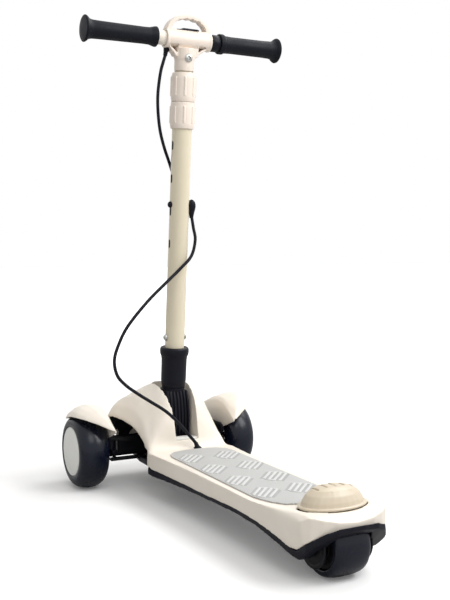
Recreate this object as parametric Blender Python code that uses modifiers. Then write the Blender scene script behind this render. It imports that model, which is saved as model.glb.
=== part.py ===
"""Three-wheel scooter that steers by leaning: deck, cowl, lean-steer front end and folding-height stem.

All sizes are in millimetres and become metres where a mesh is made. +Z is up, +Y is forward and +X is
the rider's right. The origin is on the floor, in the middle of the scooter's length and width.
"""
import bmesh
import bpy
from math import cos, pi, radians, sin
from mathutils import Euler, Vector

MM = 0.001

# Play between neighbouring pieces
GAP = 0.3

# Front wheels
FRONT_TYRE_R = 60.0
FRONT_TYRE_HALF_W = 24.5
FRONT_WHEEL_X = 131.0
FRONT_SIDE_R = 41.0
HUB_CAP_R = 38.9
HUB_CAP_RECESS = 4.2
HUB_CAP_DOME = 1.5
FRONT_RIM_R = 34.0
BEARING_R = 11.0
BEARING_HALF_W = 7.0
AXLE_R = 5.0

# Rear wheel with the motor in its hub
REAR_TYRE_R = 40.0
REAR_TYRE_HALF_W = 24.5
REAR_HUB_R = 29.7
REAR_SHOULDER = 9.0

# Lengths along the scooter
WHEELBASE = 515.0
REAR_OVERHANG = 47.0
FRONT_AXLE_Y = (WHEELBASE + REAR_OVERHANG - FRONT_TYRE_R) / 2
REAR_AXLE_Y = FRONT_AXLE_Y - WHEELBASE

# Deck
DECK_TOP_Z = 72.0
SHELL_WALL = 3.0
TRAY_WALL = 3.0
TRAY_INSET = 1.0
MAT_THICK = 1.6
MAT_HALF_W = 51.0

# Stem
RAKE = 5.02
LEAN_PIVOT_Z = 70.0
LEAN_PIVOT_Y = FRONT_AXLE_Y - 47.7
TUBE_R = 15.5
TUBE_WALL = 1.5
BAR_HEIGHT = 639.0
TUBE_TOP = BAR_HEIGHT - 96.0
COLLAR_R = 20.4
COLLAR_WALL = 4.0
COLLAR_GAP = 2.0
LOWER_COLLAR_LEN = 39.2
UPPER_COLLAR_LEN = 44.2
SOCKET_R = 20.25
SOCKET_RIM_R = 23.0
BASE_TOP = 92.0
SOCKET_RIM_BOTTOM = 135.5
SOCKET_TOP = 157.6
HOLE_PITCH = 51.2
HOLE_COUNT = 4
HOLE_HALF_W = 3.2
HOLE_HALF_H = 7.0
LOWEST_HOLE = TUBE_TOP - 218.8
HEIGHT_STEPS = 2

# Handlebar
BAR_R = 11.0
BAR_HALF_LENGTH = 165.0
GRIP_R = 13.5
GRIP_END_R = 19.6
GRIP_INNER_END = 49.0
HEAD_R = 14.2
HEAD_LEFT = -35.0
HEAD_RIGHT = 41.0

# Steering
KINGPIN_X = 88.0
KINGPIN_R = 4.0
TIE_ROD_Z = 44.0
STEER_RATIO = 1.5
STEER_ARM = (LEAN_PIVOT_Z - TIE_ROD_Z) / STEER_RATIO

# Rear brake
BRAKE_PIN_Y = REAR_AXLE_Y + 42.0
BRAKE_PIN_Z = 68.0
BRAKE_PIN_R = 2.5
PAD_CLEARANCE = 5.2
PEDAL_HALF_W = 46.0
PEDAL_HALF_L = 29.0
PEDAL_Y = REAR_AXLE_Y + 7.5
PEDAL_Z = 82.0
PEDAL_HEIGHT = 24.5

CABLE_R = 2.5

CREAM = (0.90, 0.85, 0.77)
CREAM_DARK = (0.80, 0.74, 0.62)
BLACK = (0.012, 0.013, 0.018)
GREY = (0.75, 0.76, 0.77)
STEEL = (0.62, 0.62, 0.63)

parts = bpy.data.collections.new("three_wheel_scooter")
cutters = bpy.data.collections.new("cutters")
materials = {}


def clear_scene():
    for old in list(bpy.data.objects):
        bpy.data.objects.remove(old, do_unlink=True)
    bpy.context.scene.collection.children.link(parts)
    bpy.context.scene.collection.children.link(cutters)


def material(name, colour, roughness, metallic=0.0):
    """One Principled material for each finish, shared by the pieces that have it."""
    if name not in materials:
        new = bpy.data.materials.new(name)
        new.use_nodes = True
        shader = new.node_tree.nodes["Principled BSDF"]
        shader.inputs["Base Color"].default_value = (*colour, 1.0)
        shader.inputs["Roughness"].default_value = roughness
        shader.inputs["Metallic"].default_value = metallic
        materials[name] = new
    return materials[name]


def finish_of(kind):
    finishes = {
        "cream": ("cream_abs", CREAM, 0.35, 0.0),
        "paint": ("cream_paint", CREAM_DARK, 0.3, 0.0),
        "black": ("black_plastic", BLACK, 0.45, 0.0),
        "rubber": ("black_rubber", BLACK, 0.6, 0.0),
        "tyre": ("navy_tyre", (0.010, 0.013, 0.022), 0.35, 0.0),
        "grey": ("grey_mat", GREY, 0.6, 0.0),
        "steel": ("steel", STEEL, 0.3, 1.0),
    }
    return material(*finishes[kind])


def empty(name, location=(0, 0, 0), turn=(0, 0, 0), parent=None):
    """A frame on a joint's axis, with the body's pieces under it."""
    frame = bpy.data.objects.new(name, None)
    frame.location = Vector(location) * MM
    frame.rotation_euler = Euler([radians(a) for a in turn])
    frame.parent = parent
    parts.objects.link(frame)
    return frame


def add(name, mesh, kind, parent=None, at=(0, 0, 0), turn=(0, 0, 0)):
    """A named piece, or a cutter where no finish is given."""
    piece = bpy.data.objects.new(name, mesh)
    piece.location = Vector(at) * MM
    piece.rotation_euler = Euler([radians(a) for a in turn])
    piece.parent = parent
    if kind is None:
        cutters.objects.link(piece)
        piece.hide_render = True
        piece.display_type = "WIRE"
    else:
        parts.objects.link(piece)
        mesh.materials.append(finish_of(kind))
        mesh.shade_smooth()
        mesh.set_sharp_from_angle(angle=radians(35))
    return piece


def cut(piece, *tools):
    for tool in tools:
        step = piece.modifiers.new("cut " + tool.name, "BOOLEAN")
        step.operation = "DIFFERENCE"
        step.object = tool
    return piece


def join(piece, *tools):
    for tool in tools:
        step = piece.modifiers.new("join " + tool.name, "BOOLEAN")
        step.operation = "UNION"
        step.object = tool
    return piece


def meet(piece, tool):
    step = piece.modifiers.new("meet " + tool.name, "BOOLEAN")
    step.operation = "INTERSECT"
    step.object = tool
    return piece


def turned(name, profile, kind, parent=None, at=(0, 0, 0), turn=(0, 0, 0), steps=20):
    """A shape turned about its Z: profile points are (radius, height), down the outside, up the bore."""
    mesh = bpy.data.meshes.new(name)
    points = [(r * MM, 0, z * MM) for r, z in profile]
    solid = profile[0][0] < 0.001 and profile[-1][0] < 0.001
    count = len(points)
    edges = [(i, i + 1) for i in range(count - 1)]
    if not solid:
        edges.append((count - 1, 0))
    mesh.from_pydata(points, edges, [])
    piece = add(name, mesh, kind, parent, at, turn)
    screw = piece.modifiers.new("turn", "SCREW")
    screw.steps = steps
    screw.render_steps = steps
    screw.use_merge_vertices = True
    screw.merge_threshold = 0.00001
    screw.use_smooth_shade = True
    return piece


def rod(name, radius, length, kind, parent=None, at=(0, 0, 0), turn=(0, 0, 0), steps=14):
    """A plain round bar that starts at its origin and runs up its Z."""
    profile = [(0, length), (radius, length), (radius, 0), (0, 0)]
    return turned(name, profile, kind, parent, at, turn, steps)


def box(name, low, high, kind, parent=None):
    mesh = bpy.data.meshes.new(name)
    shape = bmesh.new()
    bmesh.ops.create_cube(shape, size=1.0)
    size = [(h - l) * MM for l, h in zip(low, high)]
    middle = [(h + l) / 2 * MM for l, h in zip(low, high)]
    bmesh.ops.scale(shape, vec=size, verts=shape.verts)
    bmesh.ops.translate(shape, vec=middle, verts=shape.verts)
    shape.to_mesh(mesh)
    shape.free()
    return add(name, mesh, kind, parent)


AXIS_TURN = {"X": (90, 0, 90), "Y": (90, 0, 0), "Z": (0, 0, 0)}


def plate(name, outline, low, high, axis, kind, parent=None):
    """A flat outline pushed along an axis: (y, z) points along X, (x, z) along Y, (x, y) along Z."""
    curve = bpy.data.curves.new(name, "CURVE")
    curve.dimensions = "2D"
    curve.fill_mode = "BOTH"
    curve.extrude = (high - low) / 2 * MM
    spline = curve.splines.new("POLY")
    spline.points.add(len(outline) - 1)
    for point, (u, v) in zip(spline.points, outline):
        point.co = (u * MM, v * MM, 0, 1)
    spline.use_cyclic_u = True
    flat = bpy.data.objects.new(name, curve)
    cutters.objects.link(flat)
    middle = (high + low) / 2 * MM
    flat.rotation_euler = Euler([radians(a) for a in AXIS_TURN[axis]])
    flat.location = {"X": (middle, 0, 0), "Y": (0, middle, 0), "Z": (0, 0, middle)}[axis]
    bpy.context.view_layer.update()
    mesh = mesh_of(flat)
    return add(name, mesh, kind, parent)


def mesh_of(curve_object):
    """The curve's solid as a closed mesh in its own place; the curve itself is removed."""
    graph = bpy.context.evaluated_depsgraph_get()
    mesh = bpy.data.meshes.new_from_object(curve_object.evaluated_get(graph))
    mesh.transform(curve_object.matrix_world)
    shape = bmesh.new()
    shape.from_mesh(mesh)
    bmesh.ops.remove_doubles(shape, verts=shape.verts, dist=0.000001)
    bmesh.ops.recalc_face_normals(shape, faces=shape.faces)
    shape.to_mesh(mesh)
    shape.free()
    name = curve_object.name
    bpy.data.objects.remove(curve_object, do_unlink=True)
    mesh.name = name
    return mesh


def wire(name, points, radius, kind, parent=None, resolution=2):
    """A round wire along a list of points, with closed ends."""
    curve = bpy.data.curves.new(name, "CURVE")
    curve.dimensions = "3D"
    curve.bevel_depth = radius * MM
    curve.bevel_resolution = resolution
    curve.use_fill_caps = True
    spline = curve.splines.new("POLY")
    spline.points.add(len(points) - 1)
    for point, place in zip(spline.points, points):
        point.co = (*(Vector(place) * MM), 1)
    round_bar = bpy.data.objects.new(name, curve)
    cutters.objects.link(round_bar)
    bpy.context.view_layer.update()
    return add(name, mesh_of(round_bar), kind, parent)


def loft(name, rings, kind, parent=None, closed=True):
    """A skin over a row of unlike sections, each with as many points, capped at both ends."""
    mesh = bpy.data.meshes.new(name)
    shape = bmesh.new()
    rows = [[shape.verts.new(Vector(p) * MM) for p in ring] for ring in rings]
    for low, high in zip(rows, rows[1:]):
        count = len(low)
        for i in range(count if closed else count - 1):
            j = (i + 1) % count
            shape.faces.new((low[i], low[j], high[j], high[i]))
    if closed:
        shape.faces.new(rows[0])
        shape.faces.new(rows[-1])
    bmesh.ops.recalc_face_normals(shape, faces=shape.faces)
    shape.to_mesh(mesh)
    shape.free()
    return add(name, mesh, kind, parent)


def mirrored(half):
    """A whole outline from its half at +X, listed from the middle's front to the middle's back."""
    other = [(-x, y) for x, y in reversed(half) if x > 0.01]
    return half + other


def between(stations, place):
    """Straight interpolation in a row of (place, value) pairs that runs downwards."""
    for (a, u), (b, v) in zip(stations, stations[1:]):
        if b <= place <= a:
            return u + (v - u) * (a - place) / (a - b)
    return stations[0][1] if place > stations[0][0] else stations[-1][1]


def arc(centre, radius, start, end, count):
    """Points on a circle from one angle to the other, in degrees."""
    turns = [radians(start + (end - start) * i / (count - 1)) for i in range(count)]
    return [(centre[0] + radius * cos(t), centre[1] + radius * sin(t)) for t in turns]


def ellipse(centre, half_u, half_v, start, end, count):
    return [(centre[0] + half_u * u, centre[1] + half_v * v)
            for u, v in arc((0, 0), 1.0, start, end, count)]


def smooth_route(stops, spacing):
    """Evenly spaced points on one smooth curve through the stops."""
    fine = []
    padded = [stops[0] * 2 - stops[1]] + stops + [stops[-1] * 2 - stops[-2]]
    for p0, p1, p2, p3 in zip(padded, padded[1:], padded[2:], padded[3:]):
        for i in range(20):
            t = i / 20
            fine.append(0.5 * (2 * p1 + (p2 - p0) * t + (2 * p0 - 5 * p1 + 4 * p2 - p3) * t * t
                               + (3 * p1 - p0 - 3 * p2 + p3) * t ** 3))
    fine.append(stops[-1])
    total = sum((b - a).length for a, b in zip(fine, fine[1:]))
    count = max(2, round(total / spacing))
    points = [fine[0]]
    travelled = 0.0
    wanted = total / count
    for a, b in zip(fine, fine[1:]):
        step = (b - a).length
        while travelled + step >= wanted * len(points) and len(points) < count:
            share = (wanted * len(points) - travelled) / step
            points.append(a.lerp(b, share))
        travelled += step
    points.append(fine[-1])
    return points


# Between these two places the deck stretches with the wheelbase
STRETCH_FRONT = -150.0
STRETCH_BACK = -440.0

# Deck outline: distance behind the front axle and half width, from the cowl to the rear corners
DECK_PLAN = [(-100, 62), (-104, 66.5), (-110, 69.5), (-122, 70), (-165, 66.5), (-230, 62.5),
             (-330, 60.5), (-440, 60.5), (-520, 61), (-530, 60)]
REAR_CORNER = [(-541, 53), (-549.5, 41), (-555.5, 25), (-558.5, 0)]

# Deck surface and the lower edges of the shell and the tray: distance behind the front axle and height
DECK_SURFACE = [(-92, DECK_TOP_Z), (-411, DECK_TOP_Z), (-437, DECK_TOP_Z + 1.6), (-463, DECK_TOP_Z + 4.2),
                (-487, DECK_TOP_Z + 7.4), (-511, DECK_TOP_Z + 10.0), (-530, DECK_TOP_Z + 11.0),
                (-543, DECK_TOP_Z + 9.8), (-552, DECK_TOP_Z + 6.8), (-559.5, DECK_TOP_Z + 2.5)]
SKIRT_EDGE = [(-98, 49), (-203, 48), (-293, 48.5), (-374, 51.5), (-427, 50), (-461, 47), (-493, 41),
              (-508, 38.2), (-515.5, 38), (-540, 54.5), (-550, 63), (-561, 71.5)]
SKIRT_TIP = 8
TRAY_EDGE = [(38, 41.5), (-30, 36.8), (-115, 37), (-203, 40.5), (-293, 43), (-374, 45), (-426, 43.5),
             (-461, 39), (-493, 32.5), (-511, 27.5), (-519, 27), (-540, 45.5), (-562, 66)]

# How the sides draw in towards the tail: distance, half width low down, at the shoulder and well above it,
# and the shoulder's height
TAIL_DRAFT = [(-425, 61.8, 61.8, 61.6, 73.0), (-480, 58.4, 60.9, 47.5, 75.0), (-535, 53.8, 60.2, 45.0, 76.0),
              (-580, 50.5, 59.8, 44.0, 76.0)]


def behind(offset):
    """Place along the scooter of a point measured from the front axle of the drawn scooter.

    A longer wheelbase stretches the middle of the deck, and leaves the cowl and the tail as drawn. The
    skirt's lowest tip, drawn half a millimetre behind the rear axle, tells the wheelbase of the drawing.
    """
    drawn = -SKIRT_EDGE[SKIRT_TIP][0] - 0.5
    share = min(1.0, max(0.0, (STRETCH_FRONT - offset) / (STRETCH_FRONT - STRETCH_BACK)))
    return FRONT_AXLE_Y + offset - share * (WHEELBASE - drawn)


# Cowl sections: distance behind the front axle, crest height, crease and rim of the side
COWL = [(-119, 69, 60, 68.5, 66, 66), (-113.5, 75, 64, 72.5, 67, 68), (-109, 86, 64, 77.5, 67.3, 73.2),
        (-103, 112, 61, 86, 67, 76), (-95, 135, 58, 94, 66, 80), (-85, 151, 55.5, 105, 65.5, 87),
        (-73, 162, 53, 121, 66, 94.5), (-60, 169, 52, 132, 67.5, 101), (-45, 171.5, 54, 141, 70.5, 107),
        (-25, 168, 59, 145, 77, 112), (-5, 161, 65, 142, 84.5, 115), (12, 151, 69, 135, 87.5, 112),
        (28, 138, 68, 122, 83, 101), (41, 118, 60, 103, 71, 83), (49, 92, 48, 80, 55, 66),
        (52.5, 70, 38, 62, 44, 56)]
COWL_FOOT_Z = 50.0
CHANNEL_HALF_W = 19.5
CHANNEL_FLOOR_Z = 84.0
WELL_BACK = -88.0
WELL_FRONT = -22.0
WELL_SIDE = [(20.0, CHANNEL_FLOOR_Z), (23.0, 148.0), (25.4, 160.0), (28.4, 172.0), (28.4, 210.0)]
WELL_FOOT_Z = 80.0
ARCH_LIP = 4.0


def cowl_section(y, crest, crease_x, crease_z, rim_x, rim_z, foot, inset):
    """One closed section of the cowl, from the middle over the crest, the crease and the rim."""
    crest -= inset
    crease_x -= inset * 0.8
    crease_z -= inset
    rim_x -= inset
    rim_z -= inset
    edge = CHANNEL_HALF_W
    half = [(0, crest), (edge, crest)]
    for share in (0.33, 0.67):
        fall = (crest - crease_z) * share ** 1.25
        half.append((edge + (crease_x - edge) * share, crest - fall))
    bulge = min(1.8, abs(crease_z - rim_z) * 0.1)
    half += [(crease_x, crease_z),
             ((crease_x + rim_x) / 2 + bulge, (crease_z + rim_z) / 2 + bulge),
             (rim_x, rim_z), (rim_x, foot)]
    return [(x, y, z) for x, z in mirrored(half)]


def cowl_solid(name, inset, foot):
    """The cowl's outer form, or its hollow where it is drawn in by the wall."""
    middle = (COWL[0][0] + COWL[-1][0]) / 2
    reach = (COWL[-1][0] - COWL[0][0]) / 2
    rings = []
    for offset, *section in COWL:
        drawn_in = middle + (offset - middle) * (reach - inset) / reach
        rings.append(cowl_section(behind(drawn_in), *section, foot, inset))
    return loft(name, rings, None)


def plan_outline(inset, front, rear_grow=0.0):
    half = [(0, behind(front))]
    sides = [(w, o) for o, w in DECK_PLAN if o <= front]
    half.append((between(DECK_PLAN, front) - inset, behind(front)))
    half += [(w - inset, behind(o)) for w, o in sides if o < front]
    for offset, width in REAR_CORNER:
        half.append((max(0, width - inset * 0.8), behind(offset) + inset - rear_grow))
    return mirrored(half)


def deck_side(top_drop, bottom, front, rear_inset):
    """Side view of the deck between its surface, lowered by top_drop, and a row of lower points."""
    top = [(behind(front), DECK_TOP_Z - top_drop)]
    top += [(behind(o) + rear_inset * (o < -520), z - top_drop) for o, z in DECK_SURFACE if o < front]
    return top + [(y, z) for y, z in reversed(bottom)]


def tail_trimmer(name, side, inset):
    """What the sides lose towards the tail: they lean in downwards, and their upper edge is rounded off."""
    rings = []
    for offset, foot, shoulder, top, height in TAIL_DRAFT:
        ring = [(foot - inset, 15), (shoulder - inset, height - inset * 0.3), (top - inset, 90 - inset * 0.3),
                (95, 90.5), (95, 14.5)]
        rings.append([(side * x, behind(offset), z) for x, z in ring])
    return loft(name, rings, None)


def well_cutter(name, wall, low, back, front):
    """A well that widens upwards, so the stem can lean in it."""
    side = [(WELL_SIDE[0][0], low)] + WELL_SIDE
    outline = [(w + wall, z) for w, z in side] + [(-w - wall, z) for w, z in reversed(side)]
    return plate(name, outline, behind(back), behind(front), "Y", None)


def flare_cutter(name, wall):
    """Where the channel opens out into the well."""
    rings = []
    edge = CHANNEL_HALF_W + 0.05
    low = CHANNEL_FLOOR_Z + 0.4 - wall
    for offset, share in ((-103, 0.0), (WELL_BACK + 0.5, 1.0)):
        side = [(edge + (w - 0.12 - edge) * share + wall, z) for w, z in WELL_SIDE]
        side[0] = (side[0][0], low)
        rings.append([(x, behind(offset), z) for x, z in side + [(-x, z) for x, z in reversed(side)]])
    return loft(name, rings, None)


def body_shell():
    """Deck and cowl, moulded in one piece and hollow underneath."""
    front = -100
    skirt = [(behind(o), z) for o, z in SKIRT_EDGE]
    shell = plate("body_shell", plan_outline(0, front), 20, 110, "Z", "cream")
    skirt[0] = (behind(front) + 7, skirt[0][1])
    meet(shell, plate("deck_side_form", deck_side(0, skirt, front + 7, 0), -90, 90, "X", None))
    join(shell, cowl_solid("cowl_form", 0, COWL_FOOT_Z))

    hollow = plate("deck_hollow", plan_outline(SHELL_WALL, front - 1), 10, 110, "Z", None)
    floor_line = [(behind(front + 7), 5), (behind(-556), 5)]
    meet(hollow, plate("deck_hollow_side", deck_side(SHELL_WALL, floor_line, front + 7, SHELL_WALL),
                       -89, 89, "X", None))
    for side in (-1, 1):
        cut(shell, tail_trimmer(f"tail_side_{side}", side, 0))
        cut(hollow, tail_trimmer(f"tail_hollow_{side}", side, SHELL_WALL + 0.2))
    join(hollow, cowl_solid("cowl_hollow", SHELL_WALL, 7))
    wall = 2.5
    cut(hollow, plate("channel_wall", [(-CHANNEL_HALF_W - wall, CHANNEL_FLOOR_Z - wall),
                                       (CHANNEL_HALF_W + wall, CHANNEL_FLOOR_Z - wall),
                                       (CHANNEL_HALF_W + wall, 220), (-CHANNEL_HALF_W - wall, 220)],
                      behind(-140), behind(WELL_BACK + 1), "Y", None))
    cut(hollow, well_cutter("well_wall", wall, WELL_FOOT_Z, WELL_BACK - wall, WELL_FRONT + wall))
    cut(hollow, flare_cutter("flare_wall", wall))
    cut(shell, hollow)
    cut(shell, plate("channel_cut", [(-CHANNEL_HALF_W, CHANNEL_FLOOR_Z), (CHANNEL_HALF_W, CHANNEL_FLOOR_Z),
                                     (CHANNEL_HALF_W, 230), (-CHANNEL_HALF_W, 230)],
                     behind(-150), behind(WELL_BACK + 2), "Y", None))
    cut(shell, well_cutter("well_cut", 0, 40, WELL_BACK, WELL_FRONT))
    cut(shell, flare_cutter("flare_cut", 0))

    rim = [(behind(o) + 1.7, rz - ARCH_LIP) for o, _, _, _, _, rz in COWL if -100 < o < 45]
    arch = [(behind(-103), -10), (behind(-103), 71)] + rim + [(behind(46.5), 60), (behind(46.5), -10)]
    for side in (-1, 1):
        low, high = sorted((side * 56.5, side * 130))
        cut(shell, plate(f"wheel_arch_{side}", arch, low, high, "X", None))

    brake_hole = ellipse((0, PEDAL_Y), PEDAL_HALF_W + 0.9, PEDAL_HALF_L + 1.7, 0, 345, 24)
    cut(shell, plate("brake_opening", brake_hole, 60, 140, "Z", None))

    hole = rod("grommet_hole", 5.4, 30, None, at=(GROMMET_X, GROMMET_Y, DECK_TOP_Z - 20))
    cut(shell, hole)

    ears = []
    for side in (-1, 1):
        low, high = sorted((side * (BRAKE_LUG_HALF_W + GAP), side * (BRAKE_LUG_HALF_W + 3.5)))
        ear = [(BRAKE_PIN_Y - 5.5, BRAKE_PIN_Z - 5.5), (BRAKE_PIN_Y + 5.5, BRAKE_PIN_Z - 5.5),
               (BRAKE_PIN_Y + 9, DECK_TOP_Z + 2.2), (BRAKE_PIN_Y - 1.5, DECK_TOP_Z + 3)]
        ears.append(plate(f"brake_ear_{side}", ear, low, high, "X", None))
    join(shell, *ears)
    cut(shell, rod("brake_pin_hole", BRAKE_PIN_R + GAP, 60, None, at=(-30, BRAKE_PIN_Y, BRAKE_PIN_Z),
                   turn=(0, 90, 0)))
    return shell


GROMMET_X = 11.0
GROMMET_Y = behind(-123)
BRAKE_LUG_HALF_W = 9.0


def under_tray():
    """Black tray under the deck, with the liner round the rear wheel."""
    front = 30
    plan = [(0, behind(front)), (40, behind(front)), (47, behind(-20)), (47, behind(-97)),
            (65, behind(-104))]
    plan += [(w - TRAY_INSET, behind(o)) for o, w in DECK_PLAN if o < -108]
    end = REAR_AXLE_Y - REAR_OVERHANG
    plan += [(52, end + 19), (42, end + 7.5), (28, end + 1.4), (8, end), (0, end)]
    seat = BEAM_BOTTOM - GAP
    top = [(behind(front) + 6, seat), (behind(-90), seat), (behind(-95), 47.5)]
    top += [(behind(o), z - GAP) for o, z in SKIRT_EDGE if o < -97]
    low = [(behind(o), z) for o, z in TRAY_EDGE]
    tray = plate("under_tray", mirrored(plan), 10, 90, "Z", "black")
    top += [(low[-1][0] - 3, top[-1][1] + 1)]
    top += [(low[-1][0] - 3, low[-1][1] + 2.8)]
    meet(tray, plate("tray_side_form", top + low[::-1], -92, 92, "X", None))
    for side in (-1, 1):
        cut(tray, tail_trimmer(f"tray_side_{side}", side, TRAY_INSET))

    pocket_end = REAR_AXLE_Y - 17
    pocket_plan = [(0, behind(front) - 3), (37, behind(front) - 3), (44, behind(-20)), (44, behind(-100)),
                   (62, behind(-107))]
    pocket_plan += [(w - TRAY_INSET - TRAY_WALL, behind(o)) for o, w in DECK_PLAN if -510 < o < -108]
    pocket_plan += [(56.5, pocket_end), (0, pocket_end)]
    pocket = plate("tray_pocket", mirrored(pocket_plan), 5, 95, "Z", None)
    low_in = [(y, z + TRAY_WALL) for y, z in low]
    meet(pocket, plate("pocket_side", [(behind(40), 80), (behind(-575), 80)] + low_in[::-1]
                       + [(behind(40), low_in[0][1])], -93, 93, "X", None))
    for side in (-1, 1):
        cut(pocket, tail_trimmer(f"pocket_side_{side}", side, TRAY_INSET + TRAY_WALL + 0.2))
    cut(tray, pocket)

    back = REAR_AXLE_Y - REAR_TYRE_R
    well = [(0, REAR_AXLE_Y + 46), (38, REAR_AXLE_Y + 46), (38, pocket_end - 1), (30.5, pocket_end - 3),
            (27.2, back + 8), (21.5, back + 0.5), (0, back + 0.4)]
    cut(tray, plate("wheel_well", mirrored(well), 0, 90, "Z", None))
    rod_y = FRONT_AXLE_Y - STEER_ARM
    cut(tray, box("tie_rod_slot", (-75, rod_y - 7.5, TIE_ROD_Z - 3), (75, rod_y + 7.5, 60), None))
    for side in (-1, 1):
        low_x, high_x = sorted((side * 30, side * 39))
        join(tray, box(f"beam_post_{side}", (low_x, FRONT_AXLE_Y - 7, 40.5), (high_x, FRONT_AXLE_Y + 7,
                       seat), None))
    return tray


BEAM_BOTTOM = 47.0
BEAM_TOP = 77.0
BEAM_HALF_D = 10.0
FORK_LOW = 52.0
FORK_HIGH = 72.0
FORK_END = KINGPIN_X + 8


def deck_parts():
    """What lies on and under the deck."""
    mat_top = [(0, behind(-130.5)), (20, behind(-131.5)), (36, behind(-136.5)), (47, behind(-147)),
               (MAT_HALF_W, behind(-162)), (MAT_HALF_W, behind(-405)), (46, behind(-444)),
               (40, behind(-466)), (30, behind(-474.5)), (15, behind(-479)), (0, behind(-480.5))]
    mat = plate("deck_mat", mirrored(mat_top), 60, 100, "Z", "grey")
    band = [(behind(-120), DECK_TOP_Z + GAP + MAT_THICK)]
    band += [(behind(o), z + GAP + MAT_THICK) for o, z in DECK_SURFACE if -500 < o < -130]
    under = [(behind(o), z + GAP) for o, z in DECK_SURFACE if -500 < o < -130]
    meet(mat, plate("mat_band", band + under[::-1] + [(behind(-120), DECK_TOP_Z + GAP)], -80, 80, "X", None))
    cut(mat, plate("mat_brake_edge", ellipse((0, PEDAL_Y), PEDAL_HALF_W + 0.9, PEDAL_HALF_L + 1.7, 0, 345, 24),
                   50, 150, "Z", None))

    turned("cable_grommet", [(5.4, 2.6), (6.3, 1.6), (6.3, GAP), (5.1, GAP), (5.1, -6), (CABLE_R + 0.9, -6),
                             (CABLE_R + 0.9, 2.6)],
           "rubber", at=(GROMMET_X, GROMMET_Y, DECK_TOP_Z))
    box("channel_floor", (-CHANNEL_HALF_W + GAP, behind(-106.5), CHANNEL_FLOOR_Z + GAP),
        (CHANNEL_HALF_W - GAP, behind(WELL_BACK) - 2, CHANNEL_FLOOR_Z + 3.2), "grey")
    box("battery_pack", (-40, behind(-345), 47.6), (40, behind(-185), DECK_TOP_Z - SHELL_WALL - GAP), "black")
    box("controller_box", (-30, behind(-168), 42.5), (30, behind(-132), 63), "black")


def front_frame():
    """Cross beam that carries the kingpins, with the yoke of the stem's pivot behind it."""
    y0 = FRONT_AXLE_Y
    beam = box("front_beam", (-FORK_END, y0 - BEAM_HALF_D, BEAM_BOTTOM), (FORK_END, y0 + BEAM_HALF_D, BEAM_TOP),
               "black")
    ear_back = LEAN_PIVOT_Y - 29
    for side in (-1, 1):
        low, high = sorted((side * 16.5, side * 22))
        join(beam, box(f"beam_rail_{side}", (low, ear_back, 50), (high, y0, 61), None))
    join(beam, box("beam_ear", (-22, ear_back, 50), (22, ear_back + 10, 79), None))
    for side in (-1, 1):
        low, high = sorted((side * 77, side * 120))
        cut(beam, box(f"fork_gap_{side}", (low, y0 - 30, FORK_LOW), (high, y0 + 30, FORK_HIGH), None))
        cut(beam, rod(f"kingpin_hole_{side}", KINGPIN_R + GAP, 60, None, at=(side * KINGPIN_X, y0, 30)))
    cut(beam, rod("pivot_hole", 4 + GAP, 81, None, at=(0, y0 - 1, LEAN_PIVOT_Z), turn=(90, 0, 0)))

    rod("lean_pivot_pin", 4, 75, "steel", at=(0, y0 - 1 - GAP, LEAN_PIVOT_Z), turn=(90, 0, 0))
    coil = [(6.0 * cos(t), ear_back + 11.6 + 9.2 * t / (6 * pi), LEAN_PIVOT_Z + 6.0 * sin(t))
            for t in (2 * pi * i / 10 for i in range(31))]
    wire("lean_spring", coil, 1.0, "steel", resolution=1)
    for side, word in ((-1, "left"), (1, "right")):
        profile = [(0, BEAM_TOP + 4), (6.5, BEAM_TOP + 4), (6.5, BEAM_TOP + GAP), (KINGPIN_R, BEAM_TOP + GAP),
                   (KINGPIN_R, BEAM_BOTTOM - 2), (0, BEAM_BOTTOM - 2)]
        turned(f"kingpin_{word}", profile, "steel", at=(side * KINGPIN_X, y0, 0), steps=14)


def rear_frame():
    """Brackets, axle and nuts of the rear wheel, and the brake's hinge pin and spring."""
    under = [(behind(o), z - SHELL_WALL - GAP) for o, z in DECK_SURFACE]
    front_y = REAR_AXLE_Y + 68
    mid_y = REAR_AXLE_Y + 50

    def roof(y):
        return between(under, y)

    for side, word in ((-1, "left"), (1, "right")):
        low, high = sorted((side * 31.6, side * 34.6))
        outline = [(REAR_AXLE_Y - 15.5, 30), (REAR_AXLE_Y - 15.5, 50), (REAR_AXLE_Y + 14, 60),
                   (mid_y - 6, roof(mid_y) - 2), (mid_y, roof(mid_y)), (front_y, roof(front_y)),
                   (front_y, 46), (mid_y, 46), (REAR_AXLE_Y + 22, 30)]
        bracket = plate(f"rear_bracket_{word}", outline, low, high, "X", "steel")
        cut(bracket, rod(f"rear_axle_hole_{word}", AXLE_R + GAP, 20, None,
                         at=(side * 33.1 - 10, REAR_AXLE_Y, REAR_TYRE_R), turn=(0, 90, 0)))
        hex_bore = (AXLE_R + GAP) / cos(pi / 6)
        profile = [(8.5, 6), (8.5, 0), (hex_bore, 0), (hex_bore, 6)]
        turned(f"rear_axle_nut_{word}", profile, "steel",
               at=(side * (34.6 + GAP), REAR_AXLE_Y, REAR_TYRE_R), turn=(0, side * 90, 0), steps=6)
    rod("rear_axle", AXLE_R, 84, "steel", at=(-42, REAR_AXLE_Y, REAR_TYRE_R), turn=(0, 90, 0))
    half = BRAKE_LUG_HALF_W + 8
    rod("brake_hinge_pin", BRAKE_PIN_R, 2 * half, "steel", at=(-half, BRAKE_PIN_Y, BRAKE_PIN_Z),
        turn=(0, 90, 0), steps=12)
    start = BRAKE_LUG_HALF_W + 4.7
    coil = [(start + 1.8 * t / (2 * pi), BRAKE_PIN_Y + 3.9 * cos(t), BRAKE_PIN_Z + 3.9 * sin(t))
            for t in (2 * pi * i / 8 for i in range(13))]
    wire("brake_spring", coil, 0.6, "steel", resolution=1)


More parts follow.
